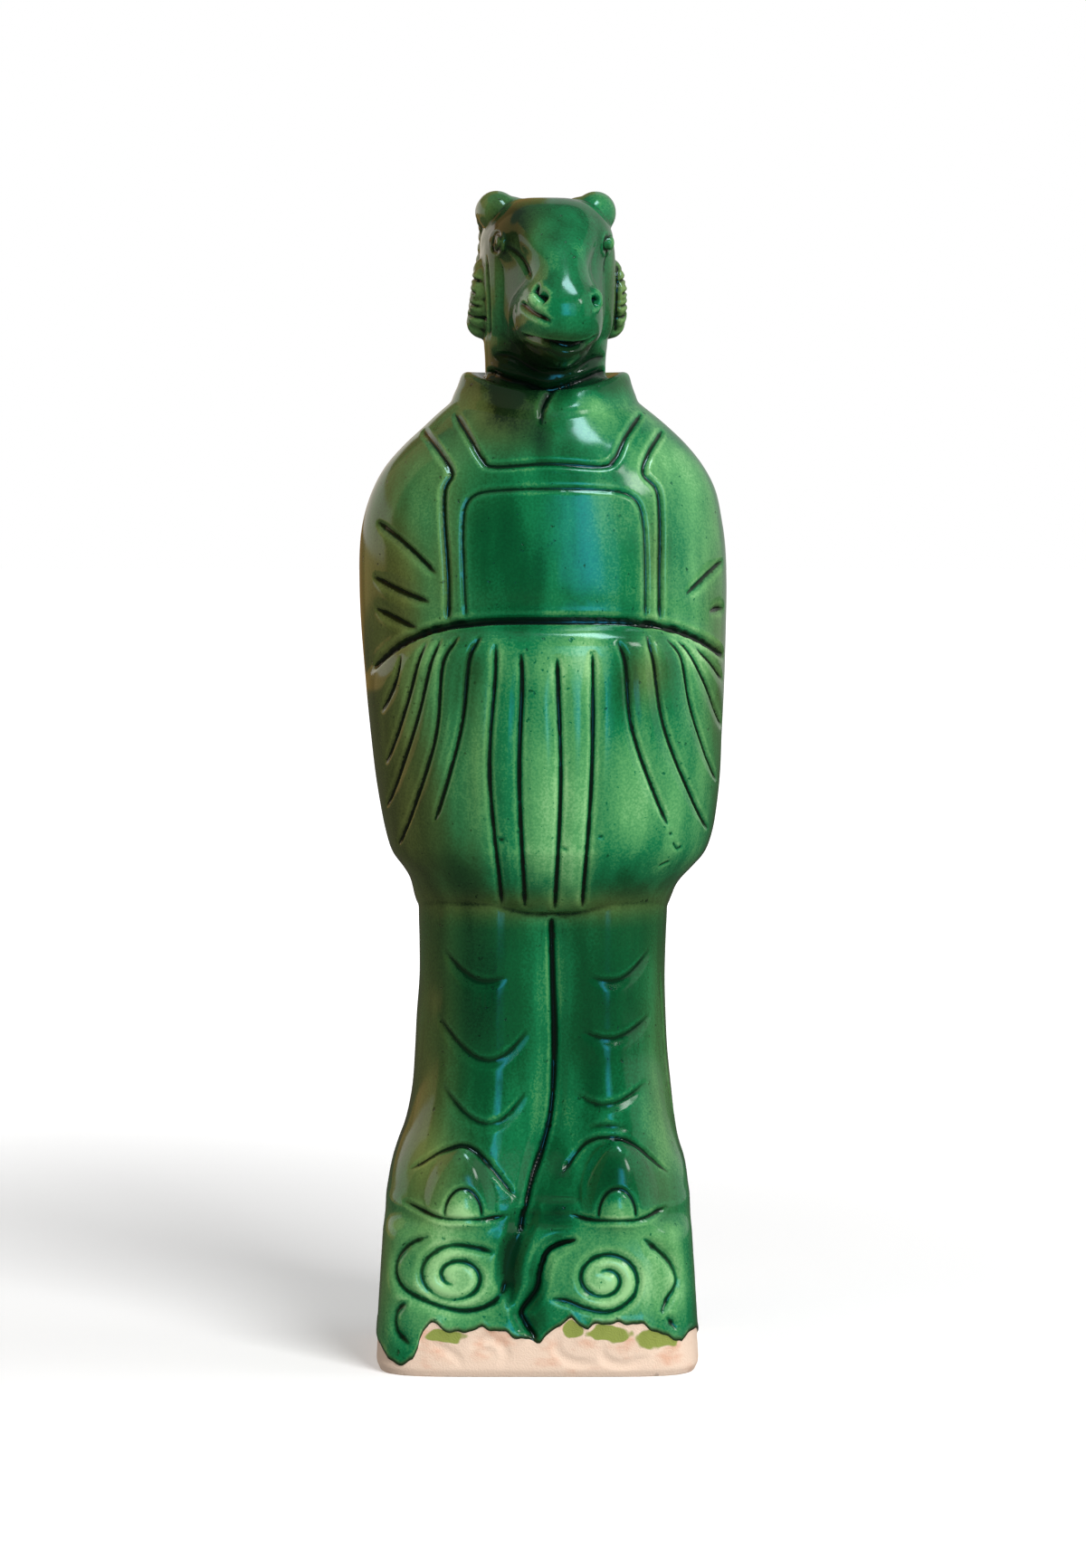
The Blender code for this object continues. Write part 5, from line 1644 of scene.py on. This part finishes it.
    def clay_colour(self, tree: bpy.types.NodeTree, values: dict[str, bpy.types.NodeSocket],
                    where: bpy.types.NodeSocket) -> bpy.types.NodeSocket:
        """The bare clay: pink-white with stains, and a few films of glaze on its front.

        Args:
            tree: the material's node tree.
            values: sockets of the attributes, patterns and shares, by name.
            where: the socket with the place on the object.

        Returns:
            The socket with the clay's colour.
        """
        stained = {0: values["stained"], 6: linear(self.clay), 7: linear(self.clay_stain)}
        plain = colour = add_node(tree, "Mix", stained, data_type="RGBA").outputs[2]
        for x, z, half_width, half_height in self.films:
            scale = (1.0 / (half_width * MM), 0.0, 1.0 / (half_height * MM))
            shift = (-x / half_width, 0.0, -z / half_height)
            spot = add_node(tree, "Mapping", {0: where, 1: shift, 3: scale}).outputs[0]
            away = add_node(tree, "VectorMath", {0: spot}, operation="LENGTH").outputs["Value"]
            away = add_node(tree, "Math", {0: away, 1: values["warp"]}, operation="ADD").outputs[0]
            inputs = {0: away, 1: self.film_edge[0], 2: self.film_edge[1]}
            inside = add_node(tree, "MapRange", inputs, interpolation_type="SMOOTHSTEP").outputs[0]
            layers = {0: inside, 6: colour, 7: linear(self.film)}
            colour = add_node(tree, "Mix", layers, data_type="RGBA").outputs[2]
        return add_node(tree, "Mix", {0: values["ahead"], 6: plain, 7: colour}, data_type="RGBA").outputs[2]


@dataclass
class GoatFigure:
    """The whole figure, as one moulded and glazed piece."""

    measure: Measure = field(default_factory=Measure)
    mould: Mould = field(default_factory=Mould)
    edge: GlazeEdge = field(default_factory=GlazeEdge)
    flow: GlazeFlow = field(default_factory=GlazeFlow)
    finish: LeadGlazedPottery = field(default_factory=LeadGlazedPottery)
    step_reach: float = 4.5 * MM
    step_core: float = 0.3  # share of the reach where the softening is full
    step_passes: int = 60

    def parts(self) -> tuple[CloudBase | Robe | Shoes | Head, ...]:
        """The sub-assemblies that are fused into the figure."""
        return CloudBase(self.measure), Robe(self.measure), Shoes(self.measure), Head(self.measure)

    def bare_foot(self, mesh: bpy.types.Mesh) -> None:
        """Sets the clay of the foot back under the edge of the glaze, which ends in a thick roll.

        Args:
            mesh: the fused figure.
        """
        places, normals = vectors(mesh, "co"), vectors(mesh, "normal")
        above = places[:, 2] - self.edge.height(places, self.measure)
        edge = self.edge
        back = edge.step * smooth_step(above, edge.step_width, -edge.step_width)
        rolled = edge.roll * np.exp(-(((above - edge.roll_at) / edge.roll_spread) ** 2))
        places += normals * (rolled - back)[:, None]
        mesh.vertices.foreach_set("co", places.ravel())
        mesh.update()

    def soften_step(self, mesh: bpy.types.Mesh) -> None:
        """Blends the robe into the base's top edge, as the glaze and the press mould do.

        Args:
            mesh: the fused figure.
        """
        places = vectors(mesh, "co")
        top, reach = self.measure.base_height, self.step_reach
        core = self.step_core * reach
        blend = smooth_step(places[:, 2], top - reach, top - core)
        blend *= smooth_step(places[:, 2], top + reach, top + core)
        soft = relaxed(places, mesh_edges(mesh), self.step_passes)
        mesh.vertices.foreach_set("co", (places + (soft - places) * blend[:, None]).ravel())
        mesh.update()

    def build(self) -> bpy.types.Object:
        """Fuses, carves and dresses the figure, and gives it to the frame.

        Returns:
            The finished piece.
        """
        parts = self.parts()
        mesh = self.mould.fuse([solid for part in parts for solid in part.solids()])
        LOG.info("fused %d vertices", len(mesh.vertices))
        self.soften_step(mesh)
        tree = BVHTree.FromPolygons([v.co for v in mesh.vertices], [p.vertices for p in mesh.polygons])
        strokes = [stroke for part in parts for stroke in part.strokes()]
        self.mould.carve(mesh, [self.mould.lay(tree, stroke) for stroke in strokes])
        LOG.info("carved %d lines", len(strokes))
        self.bare_foot(mesh)
        survey = self.flow.survey(mesh)
        mesh = self.mould.reduce(mesh)
        self.mould.cut_flat(mesh)
        self.flow.write(mesh, survey, self.edge, self.measure)
        self.settle(mesh)
        mesh.materials.clear()
        mesh.materials.append(self.finish.material())
        mesh.shade_smooth()
        piece = bpy.data.objects.new(PIECE, mesh)
        bpy.context.scene.collection.objects.link(piece)
        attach(piece, "root")
        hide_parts(NODE)
        return piece

    @staticmethod
    def settle(mesh: bpy.types.Mesh) -> None:
        """Stands the figure where its solid stands, and trims what its relief adds outside the solid's box.

        Args:
            mesh: the figure, which is changed.
        """
        low, high = (np.array(corner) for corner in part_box(NODE))
        places = vectors(mesh, "co")
        bottom, top = places.min(0), places.max(0)
        foot, ground = (bottom + top) / 2, (low + high) / 2
        foot[2], ground[2] = bottom[2], low[2]
        fit = np.minimum((high - low) / (top - bottom), 1.0)
        places = (places - foot) * fit + ground
        mesh.vertices.foreach_set("co", places.ravel())
        mesh.update()


@dataclass(frozen=True)
class Softbox:
    """A rectangular soft light that looks at the figure."""

    name: str
    place: tuple[float, float, float]  # metres
    size: tuple[float, float]  # width and height, metres
    power: float  # watts
    colour: str = "#FFFFFF"
    only_reflected: bool = False
    aim: tuple[float, float, float] = (0.0, 0.0, 0.12)  # the figure's middle

    def hang(self) -> None:
        """Adds the light to the scene."""
        light = bpy.data.lights.new(self.name, "AREA")
        light.shape = "RECTANGLE"
        light.size, light.size_y = self.size
        light.energy = self.power
        light.color = linear(self.colour)[:3]
        lamp = bpy.data.objects.new(self.name, light)
        lamp.location = self.place
        lamp.rotation_mode = "QUATERNION"
        lamp.rotation_quaternion = (Vector(self.aim) - Vector(self.place)).to_track_quat("-Z", "Y")
        lamp.visible_glossy = self.only_reflected
        lamp.visible_diffuse = not self.only_reflected
        bpy.context.scene.collection.objects.link(lamp)


@dataclass(frozen=True)
class Card:
    """An upright card round the figure, which only its glaze reflects: it spans angles from the front."""

    name: str
    start: float  # degrees, to the right of the front
    end: float
    low: float  # metres
    high: float
    radius: float
    glow: float  # how bright it is against white
    colour: str = "#FFFFFF"
    columns: int = 24

    def stand(self) -> None:
        """Adds the card to the scene."""
        form = bmesh.new()
        turns = np.radians(np.linspace(self.start, self.end, self.columns + 1))
        edges = [
            [form.verts.new((self.radius * math.sin(t), -self.radius * math.cos(t), height)) for t in turns]
            for height in (self.low, self.high)
        ]
        for k in range(self.columns):
            form.faces.new((edges[0][k], edges[0][k + 1], edges[1][k + 1], edges[1][k]))
        as_stage(as_object(form), self.name, self.colour, self.glow, reflected_only=True)


def as_stage(obj: bpy.types.Object, name: str, colour: str, glow: float, reflected_only: bool = False) -> None:
    """Dresses a floor or a card, and puts it on the stage.

    Args:
        obj: the floor or card, not yet in the scene.
        name: what it is called.
        colour: its sRGB hex colour.
        glow: how brightly it shines.
        reflected_only: only reflections show it.
    """
    obj.name = name
    bpy.context.scene.collection.objects.link(obj)
    made = bpy.data.materials.new(name)
    made.use_nodes = True
    shader = made.node_tree.nodes["Principled BSDF"]
    shader.inputs["Base Color"].default_value = linear("#000000" if reflected_only else colour)
    shader.inputs["Roughness"].default_value = 0.9
    shader.inputs["Specular IOR Level"].default_value = 0.0
    shader.inputs["Emission Color"].default_value = linear(colour)
    shader.inputs["Emission Strength"].default_value = glow
    obj.data.materials.append(made)
    if reflected_only:
        obj.visible_camera = False
        obj.visible_diffuse = False
        obj.visible_shadow = False


@dataclass
class Studio:
    """A pale floor, soft lights and the camera at the photograph's angle."""

    floor_colour: str = "#FFFFFF"
    floor_size: float = 6.0  # metres to each side
    floor_glow: float = 0.19
    far_glow: float = 0.95
    fade_start: float = 0.12  # metres from the figure, where the floor's glow begins to grow
    fade_end: float = 0.75
    flag_size: float = 2.5
    flag_depth: float = 0.001  # under the floor
    flag_colour: str = "#E8DCC8"
    flag_glow: float = 0.08
    backdrop: float = 1.0
    ambience: float = 0.34
    reflected_room: float = 0.12
    distance: float = 1.100
    elevation: float = 4.0  # degrees
    aim_height: float = 0.1232
    lens: float = 117.85  # mm
    sensor: float = 36.0
    softboxes: tuple[Softbox, ...] = (
        Softbox("key", (0.56, -1.00, 0.68), (0.60, 0.60), 16.5),
        Softbox("side", (1.10, -0.10, 0.40), (0.40, 0.60), 2.5),
        Softbox("fill", (-0.95, -0.75, 0.55), (0.50, 0.50), 1.6, "#FFF0DC"),
        Softbox("skylight", (0.22, -0.30, 1.10), (0.20, 0.45), 3.2, "#C4ECF6", only_reflected=True),
    )
    cards: tuple[Card, ...] = (
        Card("dark_front", -58.0, 58.0, -1.2, 2.6, 2.4, 0.012),
        Card("window_edge", 3.0, 9.0, 0.10, 1.2, 2.0, 1.8, "#50CCEE"),
        Card("window", 9.0, 17.5, 0.10, 1.2, 2.0, 3.9, "#48BCF2"),
        Card("window_side", 17.5, 25.0, 0.10, 1.2, 2.0, 1.4, "#58C8E0"),
        Card("window_foot", 7.0, 23.0, 0.01, 0.10, 2.0, 1.6, "#48C2F0"),
        Card("spark", 40.0, 52.0, 1.18, 1.80, 2.0, 6.0),
        Card("right_wall", 58.0, 180.0, -1.2, 2.6, 2.3, 0.45, "#F0F0EA"),
        Card("left_near", -92.0, -58.0, -1.2, 2.6, 2.3, 0.16, "#B88850"),
        Card("left_window", -140.0, -92.0, -1.2, 2.6, 2.3, 0.75, "#E0B478"),
        Card("high_window", -172.0, -94.0, 0.25, 0.9, 2.0, 0.95, "#F0E6D8"),
        Card("left_far", -180.0, -140.0, -1.2, 2.6, 2.3, 0.50, "#C89C60"),
    )

    def floor(self) -> None:
        """Lays a wide pale floor, which glows a little, and the dim flag that the glaze reflects in its place."""
        sheet = self.sheet(self.floor_size, 0.0)
        as_stage(sheet, "studio_floor", self.floor_colour, self.floor_glow)
        sheet.visible_diffuse = False
        sheet.visible_glossy = False
        self.fade_out(sheet)
        flag = self.sheet(self.flag_size, -self.flag_depth)
        as_stage(flag, "floor_flag", self.flag_colour, self.flag_glow, reflected_only=True)

    @staticmethod
    def sheet(size: float, height: float) -> bpy.types.Object:
        """A level square.

        Args:
            size: how far it reaches to each side, in metres.
            height: its height, in metres.

        Returns:
            A new object, not yet in the scene.
        """
        form = bmesh.new()
        bmesh.ops.create_grid(form, x_segments=1, y_segments=1, size=size)
        bmesh.ops.translate(form, verts=form.verts, vec=(0.0, 0.0, height))
        return as_object(form)

    def fade_out(self, sheet: bpy.types.Object) -> None:
        """Makes the floor glow more with distance, up to the backdrop's white.

        Args:
            sheet: the floor.
        """
        tree = sheet.data.materials[0].node_tree
        away = add_node(tree, "VectorMath", {0: add_node(tree, "TexCoord").outputs["Object"]}, operation="LENGTH")
        inputs = {"Value": away.outputs["Value"], "From Min": self.fade_start, "From Max": self.fade_end,
                  "To Min": self.floor_glow, "To Max": self.far_glow}
        glow = add_node(tree, "MapRange", inputs, interpolation_type="SMOOTHSTEP").outputs[0]
        tree.links.new(glow, tree.nodes["Principled BSDF"].inputs["Emission Strength"])

    def lights(self) -> None:
        """Hangs the lights, stands the cards and sets a dim room before a white backdrop."""
        world = bpy.data.worlds.new("studio")
        bpy.context.scene.world = world
        world.use_nodes = True
        tree = world.node_tree
        path = add_node(tree, "LightPath").outputs
        room = add_node(tree, "Mix", {0: path["Is Glossy Ray"], 2: self.ambience, 3: self.reflected_room}).outputs[0]
        strength = add_node(tree, "Mix", {0: path["Is Camera Ray"], 2: room, 3: self.backdrop}).outputs[0]
        tree.links.new(strength, tree.nodes["Background"].inputs["Strength"])
        tree.nodes["Background"].inputs["Color"].default_value = (1.0, 1.0, 1.0, 1.0)
        for softbox in self.softboxes:
            softbox.hang()
        for card in self.cards:
            card.stand()
        bpy.context.scene.view_settings.view_transform = "Standard"

    def camera(self) -> None:
        """Sets the camera at the photograph's viewing angle."""
        rise = math.radians(self.elevation)
        back = Vector((0.0, -math.cos(rise), math.sin(rise)))
        lens = bpy.data.cameras.new("camera")
        lens.lens = self.lens
        lens.sensor_width = self.sensor
        camera = bpy.data.objects.new("camera", lens)
        camera.location = Vector((0.0, 0.0, self.aim_height)) + back * self.distance
        camera.rotation_mode = "QUATERNION"
        camera.rotation_quaternion = (-back).to_track_quat("-Z", "Y")
        bpy.context.scene.collection.objects.link(camera)
        bpy.context.scene.camera = camera


def main() -> None:
    """Builds the studio and the figure."""
    studio = Studio()
    studio.floor()
    studio.lights()
    studio.camera()
    LOG.info("studio is set")
    piece = GoatFigure().build()
    LOG.info("%s: %d faces", piece.name, len(piece.data.polygons))


if __name__ == "__main__":
    logging.basicConfig(level=logging.INFO, format="%(name)s: %(message)s")
    main()
